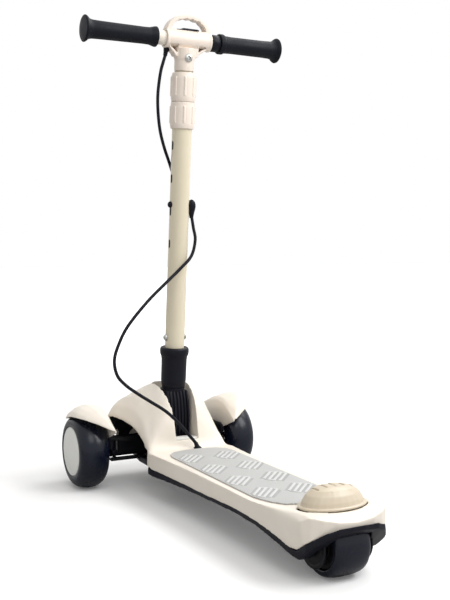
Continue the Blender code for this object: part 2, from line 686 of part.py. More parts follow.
def wheel_frames():
    frames = {}
    for side, word in ((-1, "left"), (1, "right")):
        kingpin = empty(f"kingpin_axis_{word}", (side * KINGPIN_X, FRONT_AXLE_Y, 0))
        frames[f"knuckle_{word}"] = kingpin
        frames[f"wheel_{word}"] = empty(f"wheel_axis_{word}", (side * (FRONT_WHEEL_X - KINGPIN_X), 0,
                                        FRONT_TYRE_R), (0, side * 90, 0), kingpin)
    frames["rear"] = empty("rear_wheel_axis", (0, REAR_AXLE_Y, REAR_TYRE_R), (0, 90, 0))
    return frames


def tyre_profile(radius, half_w, side_r, count):
    """Round tread from one side to the other."""
    points = []
    for i in range(count + 1):
        t = pi * i / count
        points.append((side_r + (radius - side_r) * sin(t) ** 0.9, half_w * cos(t)))
    return points


def front_wheels(frames):
    for side, word in ((-1, "left"), (1, "right")):
        hub = frames[f"wheel_{word}"]
        recess = FRONT_TYRE_HALF_W - HUB_CAP_RECESS
        tread = tyre_profile(FRONT_TYRE_R, FRONT_TYRE_HALF_W, FRONT_SIDE_R, 8)
        bore = [(FRONT_RIM_R + GAP, -FRONT_TYRE_HALF_W), (FRONT_RIM_R + GAP, recess),
                (HUB_CAP_R + GAP, recess), (HUB_CAP_R + GAP, FRONT_TYRE_HALF_W)]
        turned(f"tyre_{word}", tread + bore, "tyre", hub, steps=26)
        core = [(FRONT_RIM_R, recess), (FRONT_RIM_R, -22), (FRONT_RIM_R - 3, -22), (FRONT_RIM_R - 4, -4),
                (16, -4), (15, -12), (BEARING_R + GAP, -12), (BEARING_R + GAP, 10), (15, 10), (16, 3),
                (FRONT_RIM_R - 4, 3), (FRONT_RIM_R - 3, recess)]
        turned(f"wheel_core_{word}", core, "black", hub, steps=18)
        cap = [(0, FRONT_TYRE_HALF_W + HUB_CAP_DOME), (HUB_CAP_R - 8, FRONT_TYRE_HALF_W + HUB_CAP_DOME * 0.7),
               (HUB_CAP_R - 1.2, FRONT_TYRE_HALF_W + 0.2), (HUB_CAP_R, FRONT_TYRE_HALF_W - 1),
               (HUB_CAP_R, recess + GAP), (0, recess + GAP)]
        turned(f"hub_cap_{word}", cap, "grey", hub, steps=26)
        ring = [(BEARING_R, BEARING_HALF_W), (BEARING_R, -BEARING_HALF_W), (AXLE_R + GAP, -BEARING_HALF_W),
                (AXLE_R + GAP, BEARING_HALF_W)]
        turned(f"wheel_bearing_{word}", ring, "steel", hub, steps=16)


def rear_wheel(frames):
    hub = frames["rear"]
    side_r = REAR_HUB_R + 1.5
    shoulder = arc((REAR_TYRE_R - REAR_SHOULDER, REAR_TYRE_HALF_W - REAR_SHOULDER), REAR_SHOULDER, 90, 0, 4)
    upper = [(r, z) for r, z in shoulder]
    lower = [(r, -z) for r, z in reversed(shoulder)]
    bore = [(REAR_HUB_R + GAP, -REAR_TYRE_HALF_W + 1), (REAR_HUB_R + GAP, REAR_TYRE_HALF_W - 1)]
    turned("rear_tyre", [(side_r, REAR_TYRE_HALF_W - 0.2)] + upper[1:] + lower[:-1]
           + [(side_r, -REAR_TYRE_HALF_W + 0.2)] + bore, "tyre", hub, steps=26)
    motor = [(12, 27.5), (13, 23.2), (REAR_HUB_R - 3, 22.6), (REAR_HUB_R, 21), (REAR_HUB_R, -21),
             (REAR_HUB_R - 3, -22.6), (13, -23.2), (12, -27.5), (AXLE_R + GAP, -27.5), (AXLE_R + GAP, 27.5)]
    turned("motor_hub", motor, "black", hub)


KNUCKLE_PLATE = (98.8, 103.3)


def knuckles(frames):
    """Steering knuckles with their arms, the stub axles and the fenders on them."""
    for side, word in ((-1, "left"), (1, "right")):
        pin = frames[f"knuckle_{word}"]
        low, high = FORK_LOW + GAP, FORK_HIGH - GAP
        knuckle = turned(f"knuckle_{word}", [(0, high), (9, high), (9, low), (0, low)], "black", pin, steps=20)
        plate_in, plate_out = (x - KINGPIN_X for x in KNUCKLE_PLATE)
        a, b = sorted((side * 3, side * (plate_in + 2)))
        stub = box(f"stub_{word}", (a, -7.3, FRONT_TYRE_R - 7.3), (b, 7.3, FRONT_TYRE_R + 7.3), None, pin)
        outline = [(-34, 76), (-34, 85), (-24, 88), (10, 88), (16, 70), (16, 48), (10, 42), (-12, 42), (-20, 52)]
        a, b = sorted((side * plate_in, side * plate_out))
        upright = plate(f"upright_{word}", outline, a, b, "X", None, pin)
        arm = box(f"arm_{word}", (-4.5, -STEER_ARM - 4.5, low + 0.4), (4.5, -5, low + 6.3), None, pin)
        arm_pin = rod(f"arm_pin_{word}", 3, 14, None, pin, (0, -STEER_ARM, low + 3 - 14), steps=12)
        join(knuckle, arm, arm_pin, stub, upright)
        cut(knuckle, rod(f"kingpin_bore_{word}", KINGPIN_R + GAP, 60, None, pin, (0, 0, 30)))
        cut(knuckle, rod(f"stub_bore_{word}", AXLE_R + GAP, 30, None, pin,
                         (side * (plate_in - 1.6), 0, FRONT_TYRE_R), (0, side * 90, 0)))
        inner = KNUCKLE_PLATE[0] - 1.3 - FRONT_WHEEL_X
        axle = [(0, 17), (8, 17), (8, 12.5), (AXLE_R, 12.5), (AXLE_R, inner), (0, inner)]
        turned(f"front_axle_{word}", axle, "steel", pin, (side * (FRONT_WHEEL_X - KINGPIN_X), 0, FRONT_TYRE_R),
               (0, side * 90, 0), steps=14)
        fender(side, word, pin)


# Fender stations: distance from the axle, inner wall foot, inner edge height, crown height, outer rim x and z
FENDER = [(46, 111, 113.5, 112, 136, 106), (36, 104, 117, 119, 148, 107), (22, 94, 121.5, 127, 156, 110),
          (5, 84, 125.5, 133, 158.5, 115), (-12, 79, 126.5, 135.5, 158.5, 118.5), (-28, 81, 124, 134, 156.5, 119.5),
          (-44, 86.5, 117, 128, 146, 117), (-58, 92.5, 108.5, 117, 129, 110.5), (-70, 97, 99.5, 102, 109, 100.5)]
FENDER_WALL = 2.0
FENDER_INNER_X = KNUCKLE_PLATE[1] + GAP


def fender(side, word, pin):
    """Cap over the tyre: a curved sheet from its inner wall over the crown to the outer rim."""
    rows = []
    for offset, foot, edge, crown, rim_x, rim_z in FENDER:
        inner = FENDER_INNER_X + FENDER_WALL / 2
        mid = (inner + rim_x) / 2
        path = [(inner, foot), (inner, (foot + edge) / 2 + 1), (inner + 0.8, edge - 2),
                (inner + min(5, (rim_x - inner) * 0.25), edge + (crown - edge) * 0.35),
                ((inner + mid) / 2 + 2, crown - (crown - edge) * 0.25), (mid, crown),
                ((mid + rim_x) / 2, crown - (crown - rim_z) * 0.22),
                (rim_x - (rim_x - mid) * 0.15, crown - (crown - rim_z) * 0.6), (rim_x, rim_z)]
        rows.append([(side * (x - KINGPIN_X), offset, z) for x, z in path])
    sheet = loft(f"fender_{word}", rows, "cream", pin, closed=False)
    skin = sheet.modifiers.new("wall", "SOLIDIFY")
    skin.thickness = FENDER_WALL * MM
    skin.offset = 0.0
    skin.use_even_offset = True
    return sheet


def tie_rod():
    """Bar that joins the stem's finger to both steering arms."""
    y = FRONT_AXLE_Y - STEER_ARM
    slider = empty("tie_rod_frame", (0, y, TIE_ROD_Z))
    bar = box("tie_rod", (-KINGPIN_X - 6.5, -5.5, -2), (KINGPIN_X + 6.5, 5.5, 2), "steel", slider)
    for name, x, r in (("left", -KINGPIN_X, 3), ("right", KINGPIN_X, 3), ("middle", 0, 3.5)):
        cut(bar, rod(f"tie_rod_hole_{name}", r + 0.5, 20, None, slider, (x, 0, -10), steps=16))


def stem_base(stem):
    """Ribbed rocker at the foot of the stem, with its pivot lug and the finger that steers."""
    ribs = 6
    half_w = 17.2
    pitch = 2 * half_w / ribs

    def section(height, back, front):
        groove = 3.0
        ring = [(-half_w, front - 5), (-half_w + 5, front), (half_w - 5, front), (half_w, front - 5)]
        for i in range(ribs):
            right = half_w - i * pitch
            bow = 2.5 * (1 - ((right - pitch / 2) / half_w) ** 2)
            ring += [(right, back + 3 - bow), (right - pitch * 0.45, back + 3 - bow),
                     (right - pitch * 0.45, back + 3 - bow + groove), (right - pitch, back + 3 - bow + groove)]
        return [(x, y, height) for x, y in ring]

    rings = [section(17.5, -33, 20), section(50, -31, 20), section(74, -26, 20), section(BASE_TOP - 4, -20, 18.5)]
    base = loft("stem_base", rings, "black", stem)
    join(base, turned("base_head", [(0, BASE_TOP), (18.5, BASE_TOP), (17, 78), (0, 78)], None, stem, steps=24))
    back = LEAN_PIVOT_Y - 6
    join(base, box("pivot_lug", (-14, back, 58), (14, back + 26, 93), None))
    join(base, box("pivot_nose", (-14, back + 10, 58), (14, FRONT_AXLE_Y - BEAM_HALF_D - 3, 77.5), None))
    join(base, rod("steer_finger", 3.5, 20, None, at=(0, FRONT_AXLE_Y - STEER_ARM, 41.3), steps=16))
    cut(base, rod("pivot_bore", 4 + GAP, 90, None, at=(0, FRONT_AXLE_Y, LEAN_PIVOT_Z), turn=(90, 0, 0)))
    return base


def stem_parts(stem):
    stem_base(stem)
    bore = TUBE_R + GAP
    rim = SOCKET_RIM_R
    socket = [(rim - 1.5, SOCKET_TOP), (rim, SOCKET_TOP - 2), (rim, SOCKET_RIM_BOTTOM + 5),
              (SOCKET_R + 0.4, SOCKET_RIM_BOTTOM - 3), (SOCKET_R, SOCKET_RIM_BOTTOM - 8), (SOCKET_R, BASE_TOP + 12),
              (18.5, BASE_TOP + GAP), (bore, BASE_TOP + GAP), (bore, SOCKET_TOP)]
    turned("stem_socket", socket, "black", stem)
    inner = TUBE_R - TUBE_WALL
    tube = turned("lower_tube", [(TUBE_R, TUBE_TOP), (TUBE_R, BASE_TOP + GAP), (inner, BASE_TOP + GAP),
                                 (inner, TUBE_TOP)], "paint", stem, steps=24)
    for i in range(HOLE_COUNT):
        z = LOWEST_HOLE + i * HOLE_PITCH
        slot = arc((0, z + HOLE_HALF_H - HOLE_HALF_W), HOLE_HALF_W, 0, 180, 6)
        slot += arc((0, z - HOLE_HALF_H + HOLE_HALF_W), HOLE_HALF_W, 180, 360, 6)
        cut(tube, plate(f"slot_{i}", slot, -TUBE_R - 5, -5, "X", None, stem))
    for side, word in ((-1, "left"), (1, "right")):
        cut(tube, rod(f"screw_hole_{word}", 2.5 + GAP, 20, None, stem, (side * 6, 0, SCREW_Z), (0, side * 90, 0), 12))
        head = [(0, 3.2), (2.5, 2.8), (4.2, 1.4), (4.6, GAP), (2.5, GAP), (2.5, -4), (0, -4)]
        turned(f"stem_screw_{word}", head, "steel", stem, (side * TUBE_R, 0, SCREW_Z), (0, side * 90, 0), steps=12)

    low = TUBE_TOP - LOWER_COLLAR_LEN
    collar_bore = TUBE_R + GAP
    turned("collar_lower", [(COLLAR_R - 1.2, TUBE_TOP), (COLLAR_R - 0.6, TUBE_TOP - 4),
                            (COLLAR_R - 0.6, low + 6), (COLLAR_R - 3.2, low), (collar_bore, low),
                            (collar_bore, TUBE_TOP)], "cream", stem, steps=24)
    upper_low = TUBE_TOP + COLLAR_GAP
    upper_top = upper_low + UPPER_COLLAR_LEN
    sleeve_r = inner + 2.2
    turned("clamp_sleeve", [(sleeve_r, upper_top - 4), (sleeve_r, TUBE_TOP + GAP), (inner, TUBE_TOP + GAP),
                            (inner, upper_top - 4)], "black", stem, steps=24)
    twist = empty("collar_axis", (0, 0, upper_low), parent=stem)
    length = UPPER_COLLAR_LEN
    bore = sleeve_r + GAP
    turned("collar_upper", [(COLLAR_R - 2.8, length), (COLLAR_R - 0.8, length - 12), (COLLAR_R, length - 18),
                            (COLLAR_R, 3), (COLLAR_R - 1, 0), (bore, 0), (bore, length)],
           "cream", twist, steps=24)
    cable_clip(stem)
    cables(stem)


SCREW_Z = 173.7
COLUMN_R = TUBE_R - TUBE_WALL - GAP
CLIP_LOW = LOWEST_HOLE + 47.3
CLIP_HIGH = CLIP_LOW + 27.0
CLIP_R = TUBE_R + 3.2


def cable_clip(stem):
    """Clip round the front of the tube, with the boss that turns the cable down on the right."""
    ring = turned("cable_clip", [(CLIP_R, CLIP_HIGH), (CLIP_R, CLIP_LOW + 6), (TUBE_R + GAP, CLIP_LOW + 6),
                                 (TUBE_R + GAP, CLIP_HIGH)], "rubber", stem, steps=24)
    cut(ring, box("clip_mouth", (-40, -50, CLIP_LOW - 70), (40, -4, CLIP_HIGH + 50), None, stem))
    join(ring, rod("clip_nub", 3.6, 6, None, stem, (-CLIP_R + 1, 1, CLIP_LOW + 14.5), (0, -90, 0), 12))
    boss = turned("clip_boss", [(0, 16), (3.4, 15), (4.6, 10), (4.6, 3), (3.6, 0), (0, 0)], None, stem,
                  (20.2, -2.4, CLIP_LOW), (-4, 0, 0), 12)
    join(ring, boss)
    join(ring, turned("clip_front_boss", [(0, 6), (3.9, 6), (4.4, -8), (0, -8)], None, stem,
                      (2, CLIP_R + 0.6, CLIP_HIGH - 4), (0, 0, 0), 12))
    cut(ring, rod("clip_bore", TUBE_R + GAP, 60, None, stem, (0, 0, CLIP_LOW - 20), steps=24))


# Cable route: rider's right, distance behind the front axle and height
CABLE_TOP = [(-29.5, -99, 691.2), (-31.5, -98.7, 681), (-34.5, -98.3, 671), (-38.5, -97, 655),
             (-42, -95, 625), (-41.3, -93, 598), (-36.7, -90, 568.5), (-26.5, -82.5, 543.5),
             (-12.6, -72, 520), (-2, -66, 497), (2, -63.8, 481), (2, -63, 471.4)]
CABLE_BOTTOM = [(20.2, -83.4, 439.2), (20.8, -85, 430), (21.6, -88, 417), (22.6, -92, 399), (13.7, -96, 373.7),
                (-8.5, -101, 353.5), (-33, -106, 334), (-68.6, -112, 304.5), (-103, -118, 269),
                (-119.5, -121, 241.6), (-127, -123, 219), (-123.6, -125, 197), (-110.7, -126, 181.4),
                (-91, -127, 166.5), (-69.8, -127, 152.6), (-48.3, -127, 138.5), (-32, -127, 124.5),
                (-15.7, -126, 107.4), (-1.7, -124, 91), (GROMMET_X - 1, -123.1, 80), (GROMMET_X, -123, 69)]


def cables(stem):
    """The two stretches of the cable, above and below the clip."""
    to_stem = stem.matrix_world.inverted()
    first = Vector((CABLE_TOP[0][0], FRONT_AXLE_Y + CABLE_TOP[0][1], CABLE_TOP[0][2]))
    lift = BAR_HEIGHT - GLAND_DEPTH - (to_stem @ (first * MM)).z / MM
    rise = Vector((0, -sin(radians(RAKE)), cos(radians(RAKE)))) * lift
    foot = CABLE_BOTTOM[-1][2]
    reach = CABLE_BOTTOM[0][2] - foot
    for name, route in (("cable_upper", CABLE_TOP), ("cable_lower", CABLE_BOTTOM)):
        stops = [Vector((x, FRONT_AXLE_Y + o, z)) + rise * min(1.0, (z - foot) / reach) for x, o, z in route]
        points = [to_stem @ (p * MM) / MM for p in smooth_route(stops, 5.0 * CABLE_R)]
        wire(name, points, CABLE_R, "rubber", stem)


def column_parts(stem):
    """Upper tube with the T-shaped head, the bar and its grips."""
    column = empty("column_frame", (0, 0, 0), parent=stem)
    head_low = TUBE_TOP + COLLAR_GAP + UPPER_COLLAR_LEN + COLLAR_GAP
    tube_low = LOWEST_HOLE - 14
    tube = turned("upper_tube", [(COLUMN_R, BAR_HEIGHT - 18), (COLUMN_R, tube_low), (COLUMN_R - 1.5, tube_low),
                                 (COLUMN_R - 1.5, BAR_HEIGHT - 18)], "paint", column, steps=24)
    cut(tube, rod("button_hole", 2.6 + GAP, 20, None, column, (-25, 0, LOWEST_HOLE), (0, 90, 0), 12))
    cut(tube, rod("column_screw_hole", 2.2 + GAP, 20, None, column, (0, -5, HEAD_SCREW_Z), (90, 0, 0), 12))
    rod("height_button", 2.6, 5, "steel", column, (-COLUMN_R + 0.2, 0, LOWEST_HOLE), (0, 90, 0), steps=12)
    t_head(column, head_low)
    bar = rod("cross_bar", BAR_R, 2 * BAR_HALF_LENGTH - 8, "cream", column,
              (-BAR_HALF_LENGTH + 4, 0, BAR_HEIGHT), (0, 90, 0), steps=20)
    screw = [(0, 2.4), (4.2, 2.0), (5.4, 0.8), (5.4, GAP), (2.2, GAP), (2.2, -9), (0, -9)]
    turned("head_screw", screw, "steel", column, (0, -HEAD_NECK_R, HEAD_SCREW_Z), (90, 0, 0), steps=12)

    end = BAR_HALF_LENGTH
    grip_bore = BAR_R + GAP
    left = [(GRIP_END_R - 6, end), (GRIP_END_R - 1, end - 0.6), (GRIP_END_R, end - 2.5), (GRIP_END_R - 1.5, end - 5.5),
            (GRIP_R + 1, end - 9), (GRIP_R, end - 14), (GRIP_R - 0.9, GRIP_INNER_END + 20),
            (GRIP_R - 0.6, GRIP_INNER_END + 11), (GRIP_R + 1.6, GRIP_INNER_END + 3), (GRIP_R + 1.8, GRIP_INNER_END),
            (grip_bore, GRIP_INNER_END), (grip_bore, end - 3.7), (0, end - 3.7), (0, end)]
    profile = [left[-1]] + left[:-1]
    turned("grip_left", profile, "rubber", column, (0, 0, BAR_HEIGHT), (0, -90, 0), steps=20)
    twist = empty("throttle_axis", (0, 0, BAR_HEIGHT), (0, 90, 0), column)
    start = THROTTLE_START
    right = [(0, end)] + left[:6] + [(GRIP_R - 0.6, start + 22), (GRIP_R, start + 8), (GRIP_R + 2, start + 6.5),
                                     (GRIP_R + 2, start), (grip_bore, start), (grip_bore, end - 3.7), (0, end - 3.7)]
    turned("throttle_grip", right, "rubber", twist, steps=20)
    sleeve = [(GRIP_R - 0.5, start - GAP), (GRIP_R - 0.5, HEAD_RIGHT + GAP), (grip_bore, HEAD_RIGHT + GAP),
              (grip_bore, start - GAP)]
    turned("throttle_housing", sleeve, "black", column, (0, 0, BAR_HEIGHT), (0, 90, 0), steps=24)
    return bar


HEAD_NECK_R = 16.0
HEAD_SCREW_Z = BAR_HEIGHT - 28.2
GLAND_X = -29.5
GLAND_Y = 3.2
GLAND_R = 4.4
GLAND_DEPTH = 15.7
THROTTLE_START = 57.0
LOOP_DEPTH = 8.0


def t_head(column, low):
    """Moulded head: neck, cross barrel with gussets, and the carrying loop over it."""
    z = BAR_HEIGHT
    neck = [(0, z), (HEAD_NECK_R + 0.6, z), (HEAD_NECK_R, z - 34), (HEAD_NECK_R - 1, low), (0, low)]
    head = turned("t_head", neck, "cream", column, steps=24)
    barrel = [(0, HEAD_RIGHT), (HEAD_R - 0.8, HEAD_RIGHT), (HEAD_R, HEAD_RIGHT - 3), (HEAD_R, HEAD_LEFT + 3),
              (HEAD_R - 1, HEAD_LEFT), (0, HEAD_LEFT)]
    join(head, turned("head_barrel", barrel, None, column, (0, 0, z), (0, 90, 0), 24))
    web = [(-15, z - 31), (15, z - 31), (36, z - 10), (36, z - 4), (-31, z - 4), (-31, z - 10)]
    join(head, plate("head_web", web, -8, 8, "Y", None, column))
    middle = (HEAD_LEFT + HEAD_RIGHT) / 2
    reach = (HEAD_RIGHT - HEAD_LEFT) / 2
    outer = ellipse((middle, z + 8), reach - 0.2, 29.5, 0, 180, 17)
    outer += [(HEAD_LEFT + 3, z - 2), (HEAD_RIGHT - 3, z - 2)]
    loop = plate("head_loop", outer, -LOOP_DEPTH, LOOP_DEPTH, "Y", None, column)
    window = ellipse((middle, z + HEAD_R), reach - 9, 16.5, 0, 180, 17)
    cut(loop, plate("loop_window", window, -30, 30, "Y", None, column))
    join(head, loop)
    cut(head, rod("bar_bore", BAR_R + GAP, 200, None, column, (-100, 0, z), (0, 90, 0), 20))
    cut(head, rod("column_bore", COLUMN_R + GAP, 60, None, column, (0, 0, z - 17.4 - 60), steps=24))
    for side in (-1, 1):
        x = 3 + side * 25
        recess = [(x - side * 8, z - 17), (x + side * 6, z - 9.5), (x - side * 7, z - 8)]
        cut(head, plate(f"head_recess_{side}", recess, -30, -5.5, "Y", None, column))
    cut(head, rod("head_screw_hole", 2.2 + GAP, 30, None, column, (0, -5, HEAD_SCREW_Z), (90, 0, 0), 12))
    cut(head, rod("gland_hole", GLAND_R + GAP, 20, None, column, (GLAND_X, GLAND_Y, z - 22)))
    gland = [(GLAND_R, -12), (GLAND_R, -17), (GLAND_R - 0.7, -19), (CABLE_R + 0.7, -19), (CABLE_R + 0.7, -12)]
    turned("cable_gland", gland, "rubber", column, (GLAND_X, GLAND_Y, z), steps=14)
    cut(head, box("panel_seat", (-14, 0, z + HEAD_R - 1.5), (25, 10, z + HEAD_R + 4), None, column))
    box("head_panel", (-13.4, 0.6, z + HEAD_R - 1.5 + GAP), (24.4, 9.4, z + HEAD_R + 1.8), "black", column)


def brake_parts():
    """Rear brake: a domed pedal on a hinge in front of the wheel, with its pad."""
    hinge = empty("brake_axis", (0, BRAKE_PIN_Y, BRAKE_PIN_Z))
    y0 = PEDAL_Y - BRAKE_PIN_Y
    z0 = PEDAL_Z - BRAKE_PIN_Z
    a = PEDAL_HALF_W
    h = PEDAL_HEIGHT
    profile = [(0, h), (a * 0.36, h - 0.6), (a * 0.60, h - 3.5), (a * 0.77, h - 9), (a * 0.88, h - 16), (a * 0.92, 3.2),
               (a, 3), (a, 0), (a * 0.84, 0), (a * 0.82, h - 17), (a * 0.70, h - 11), (a * 0.54, h - 6.5),
               (a * 0.32, h - 3.8), (0, h - 3.2)]
    pedal = turned("brake_pedal", profile, "cream", hinge, (0, y0, z0), steps=26)
    pedal.scale = (1, PEDAL_HALF_L / PEDAL_HALF_W, 1)
    pad_y = REAR_AXLE_Y - BRAKE_PIN_Y
    wheel_top = 2 * REAR_TYRE_R - BRAKE_PIN_Z
    pad_low = wheel_top + PAD_CLEARANCE - 2
    pad_high = pad_low + 9
    lug = [(-12.5, z0 + 1.5), (-6.6, z0 + 1.5), (-6.6, 5), (5, 2), (0, -4.5), (-6, -3), (-10, 3)]
    half = BRAKE_LUG_HALF_W
    arm = plate("brake_lug", lug, -half, half, "X", None, hinge)
    knuckle = rod("brake_knuckle", 5.2, 2 * half - 1, None, hinge, (-half + 0.5, 0, 0), (0, 90, 0), 16)
    post = box("pad_post", (-12, pad_y - 9, pad_high + GAP), (12, pad_y + 9, z0 + h - 3), None, hinge)
    nose = box("lug_root", (-half, -12, z0 + 0.5), (half, -7, z0 + 8), None, hinge)
    join(pedal, nose, arm, knuckle, post)
    cut(pedal, rod("brake_bore", BRAKE_PIN_R + GAP, 60, None, hinge, (-30, 0, 0), (0, 90, 0), 12))
    pad = box("brake_pad", (-15, pad_y - 11, pad_low), (15, pad_y + 11, pad_high), "rubber", hinge)
    cut(pad, rod("pad_curve", REAR_TYRE_R + PAD_CLEARANCE, 80, None, hinge,
                 (-40, pad_y, REAR_TYRE_R - BRAKE_PIN_Z), (0, 90, 0), 48))


def build():
    clear_scene()
    body_shell()
    under_tray()
    deck_parts()
    front_frame()
    rear_frame()
    frames = wheel_frames()
    front_wheels(frames)
    rear_wheel(frames)
    knuckles(frames)
    tie_rod()
    stem = empty("stem_frame", (0, LEAN_PIVOT_Y, LEAN_PIVOT_Z), (RAKE, 0, 0))
    bpy.context.view_layer.update()
    stem_parts(stem)
    column_parts(stem)
    brake_parts()


build()
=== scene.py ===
from math import cos, pi, radians, sin, sqrt

import bmesh
import bpy
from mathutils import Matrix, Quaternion, Vector
from mathutils.bvhtree import BVHTree
from mathutils.kdtree import KDTree


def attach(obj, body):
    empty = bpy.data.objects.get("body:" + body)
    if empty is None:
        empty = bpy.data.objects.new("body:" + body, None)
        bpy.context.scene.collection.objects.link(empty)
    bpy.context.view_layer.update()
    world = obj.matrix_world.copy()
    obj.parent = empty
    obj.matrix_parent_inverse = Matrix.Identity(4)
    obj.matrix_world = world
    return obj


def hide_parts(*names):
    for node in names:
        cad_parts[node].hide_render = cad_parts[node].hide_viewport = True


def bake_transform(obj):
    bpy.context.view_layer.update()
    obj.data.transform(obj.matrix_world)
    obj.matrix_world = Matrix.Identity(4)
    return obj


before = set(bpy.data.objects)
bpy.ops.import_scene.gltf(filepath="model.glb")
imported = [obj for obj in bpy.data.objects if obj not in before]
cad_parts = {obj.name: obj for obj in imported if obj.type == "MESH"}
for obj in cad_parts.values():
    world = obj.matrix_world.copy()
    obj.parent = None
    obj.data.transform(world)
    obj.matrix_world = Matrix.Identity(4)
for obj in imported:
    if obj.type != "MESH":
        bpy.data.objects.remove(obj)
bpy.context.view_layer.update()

MM = 0.001

# camera first, at the photograph's place: where it stands, which way it looks and its focal length,
# the last in pixels of a photograph 600 pixels high
CAMERA_PLACE = (-0.6066, -1.1253, 0.3872)
TURN, TILT = 0.4886, -0.0584
FOCAL_PX, PHOTO_HEIGHT_PX = 898.9, 600.0
SENSOR = 36.0
look = Vector((sin(TURN) * cos(TILT), cos(TURN) * cos(TILT), sin(TILT)))
bpy.ops.object.camera_add(location=CAMERA_PLACE, rotation=look.to_track_quat("-Z", "Y").to_euler())
camera = bpy.context.object
camera.data.sensor_fit = "VERTICAL"
camera.data.sensor_height = SENSOR
camera.data.lens = FOCAL_PX * SENSOR / PHOTO_HEIGHT_PX
bpy.context.scene.camera = camera
bpy.context.scene.view_settings.view_transform = "Standard"

# the main places, in millimetres: the stem's frame, the bar's height along the stem, and the axles
RAKE = radians(5.02)
STEM_FOOT = Vector((0.0, 203.3, 70.0))
STEM_UP = Vector((0.0, -sin(RAKE), cos(RAKE)))
STEM_FORE = Vector((0.0, cos(RAKE), sin(RAKE)))
ACROSS = Vector((1.0, 0.0, 0.0))
BAR_HEIGHT = 639.0
FRONT_AXLE_Y = 251.0
REAR_AXLE_Y = -264.0
FRONT_TYRE_R = 60.0
REAR_TYRE_R = 40.0
HALF_TRACK = 131.0


# small tools
def on_stem(x, fore, height):
    """A point given along the leaning stem, in millimetres, as a place in the scene."""
    return STEM_FOOT + ACROSS * x + STEM_FORE * fore + STEM_UP * height


def only(piece):
    """Deselects all and makes this piece the one worked on."""
    if bpy.context.object and bpy.context.object.mode != "OBJECT":
        bpy.ops.object.mode_set(mode="OBJECT")
    bpy.ops.object.select_all(action="DESELECT")
    piece.select_set(True)
    bpy.context.view_layer.objects.active = piece
    return piece


def placed(piece):
    """Puts the piece's place, turn and size into its mesh."""
    only(piece)
    bpy.ops.object.transform_apply(location=True, rotation=True, scale=True)
    return piece


def modified(piece, kind, **settings):
    """Adds one modifier and applies it."""
    only(piece)
    modifier = piece.modifiers.new(kind.lower(), kind)
    for key, value in settings.items():
        setattr(modifier, key, value)
    bpy.ops.object.modifier_apply(modifier=modifier.name)
    return piece


def cut(piece, *tools):
    """Takes the tools away from the piece, and then deletes them."""
    for tool in tools:
        modified(piece, "BOOLEAN", object=tool, operation="DIFFERENCE", solver="EXACT")
        bpy.data.objects.remove(tool)
    return piece


def joined(piece, *others):
    """Several meshes as one object."""
    only(piece)
    for other in others:
        other.select_set(True)
    bpy.ops.object.join()
    return piece


def smooth(piece, angle=35.0):
    """Shades the piece smooth, apart from edges that turn by more than the angle."""
    only(piece)
    bpy.ops.object.shade_smooth_by_angle(angle=radians(angle))
    return piece


def outline_piece(name, points, edges, faces=()):
    """A new mesh from points in millimetres."""
    mesh = bpy.data.meshes.new(name)
    mesh.from_pydata([tuple(Vector(p) * MM) for p in points], edges, faces)
    piece = bpy.data.objects.new(name, mesh)
    bpy.context.collection.objects.link(piece)
    return piece


def eased(profile, radius, steps=3):
    """Rounds the corners of a row of points, apart from its ends."""
    points = [profile[0]]
    for a, b, c in zip(profile, profile[1:], profile[2:]):
        a, b, c = Vector(a), Vector(b), Vector(c)
        before, after = a - b, c - b
        if before.length < 1e-6 or after.length < 1e-6:
            continue
        one = b + before.normalized() * min(radius, before.length * 0.45)
        two = b + after.normalized() * min(radius, after.length * 0.45)
        for i in range(steps + 1):
            t = i / steps
            points.append(tuple(one * (1 - t) ** 2 + b * 2 * t * (1 - t) + two * t * t))
    points.append(profile[-1])
    return points


def spun(name, profile, centre, axis, out, steps=96, ease=0.0, closed=False):
    """Turns a profile of (radius, place along the axis) round its axis, as on a lathe."""
    if closed:
        profile = profile + [profile[0]]
    if ease:
        profile = eased(profile, ease)
    if closed:
        profile = profile[:-1]
    centre, axis, out = Vector(centre), Vector(axis), Vector(out)
    points = [centre + axis * h + out * r for r, h in profile]
    edges = [(i, i + 1) for i in range(len(points) - 1)]
    if closed:
        edges.append((len(points) - 1, 0))
    piece = outline_piece(name, points, edges)
    only(piece)
    bpy.ops.object.mode_set(mode="EDIT")
    bpy.ops.mesh.select_all(action="SELECT")
    bpy.ops.mesh.spin(steps=steps, angle=2 * pi, center=tuple(centre * MM), axis=tuple(axis))
    bpy.ops.mesh.select_all(action="SELECT")
    bpy.ops.mesh.remove_doubles(threshold=0.000004)
    bpy.ops.mesh.normals_make_consistent(inside=False)
    bpy.ops.object.mode_set(mode="OBJECT")
    return smooth(piece)


def on_stem_spun(name, profile, **settings):
    """Turns a profile of (radius, height along the stem) round the stem."""
    return spun(name, profile, STEM_FOOT, STEM_UP, ACROSS, **settings)


def rod(name, start, end, radius, steps=32):
    """A cylinder between two points, in millimetres."""
    start, end = Vector(start), Vector(end)
    middle = (start + end) / 2 * MM
    bpy.ops.mesh.primitive_cylinder_add(vertices=steps, radius=radius * MM, depth=(end - start).length * MM,
                                        location=middle,
                                        rotation=(end - start).to_track_quat("Z", "Y").to_euler())
    piece = bpy.context.object
    piece.name = name
    return placed(piece)


def block(name, centre, size, turn=None):
    """A box about its centre, along the scooter or along the given turn."""
    bpy.ops.mesh.primitive_cube_add(size=MM, location=Vector(centre) * MM)
    piece = bpy.context.object
    piece.name = name
    piece.scale = size
    if turn is not None:
        piece.rotation_mode = "QUATERNION"
        piece.rotation_quaternion = turn
    return placed(piece)


def facing_out(piece):
    """Turns all faces outward."""
    only(piece)
    bpy.ops.object.mode_set(mode="EDIT")
    bpy.ops.mesh.select_all(action="SELECT")
    bpy.ops.mesh.normals_make_consistent(inside=False)
    bpy.ops.object.mode_set(mode="OBJECT")
    return piece


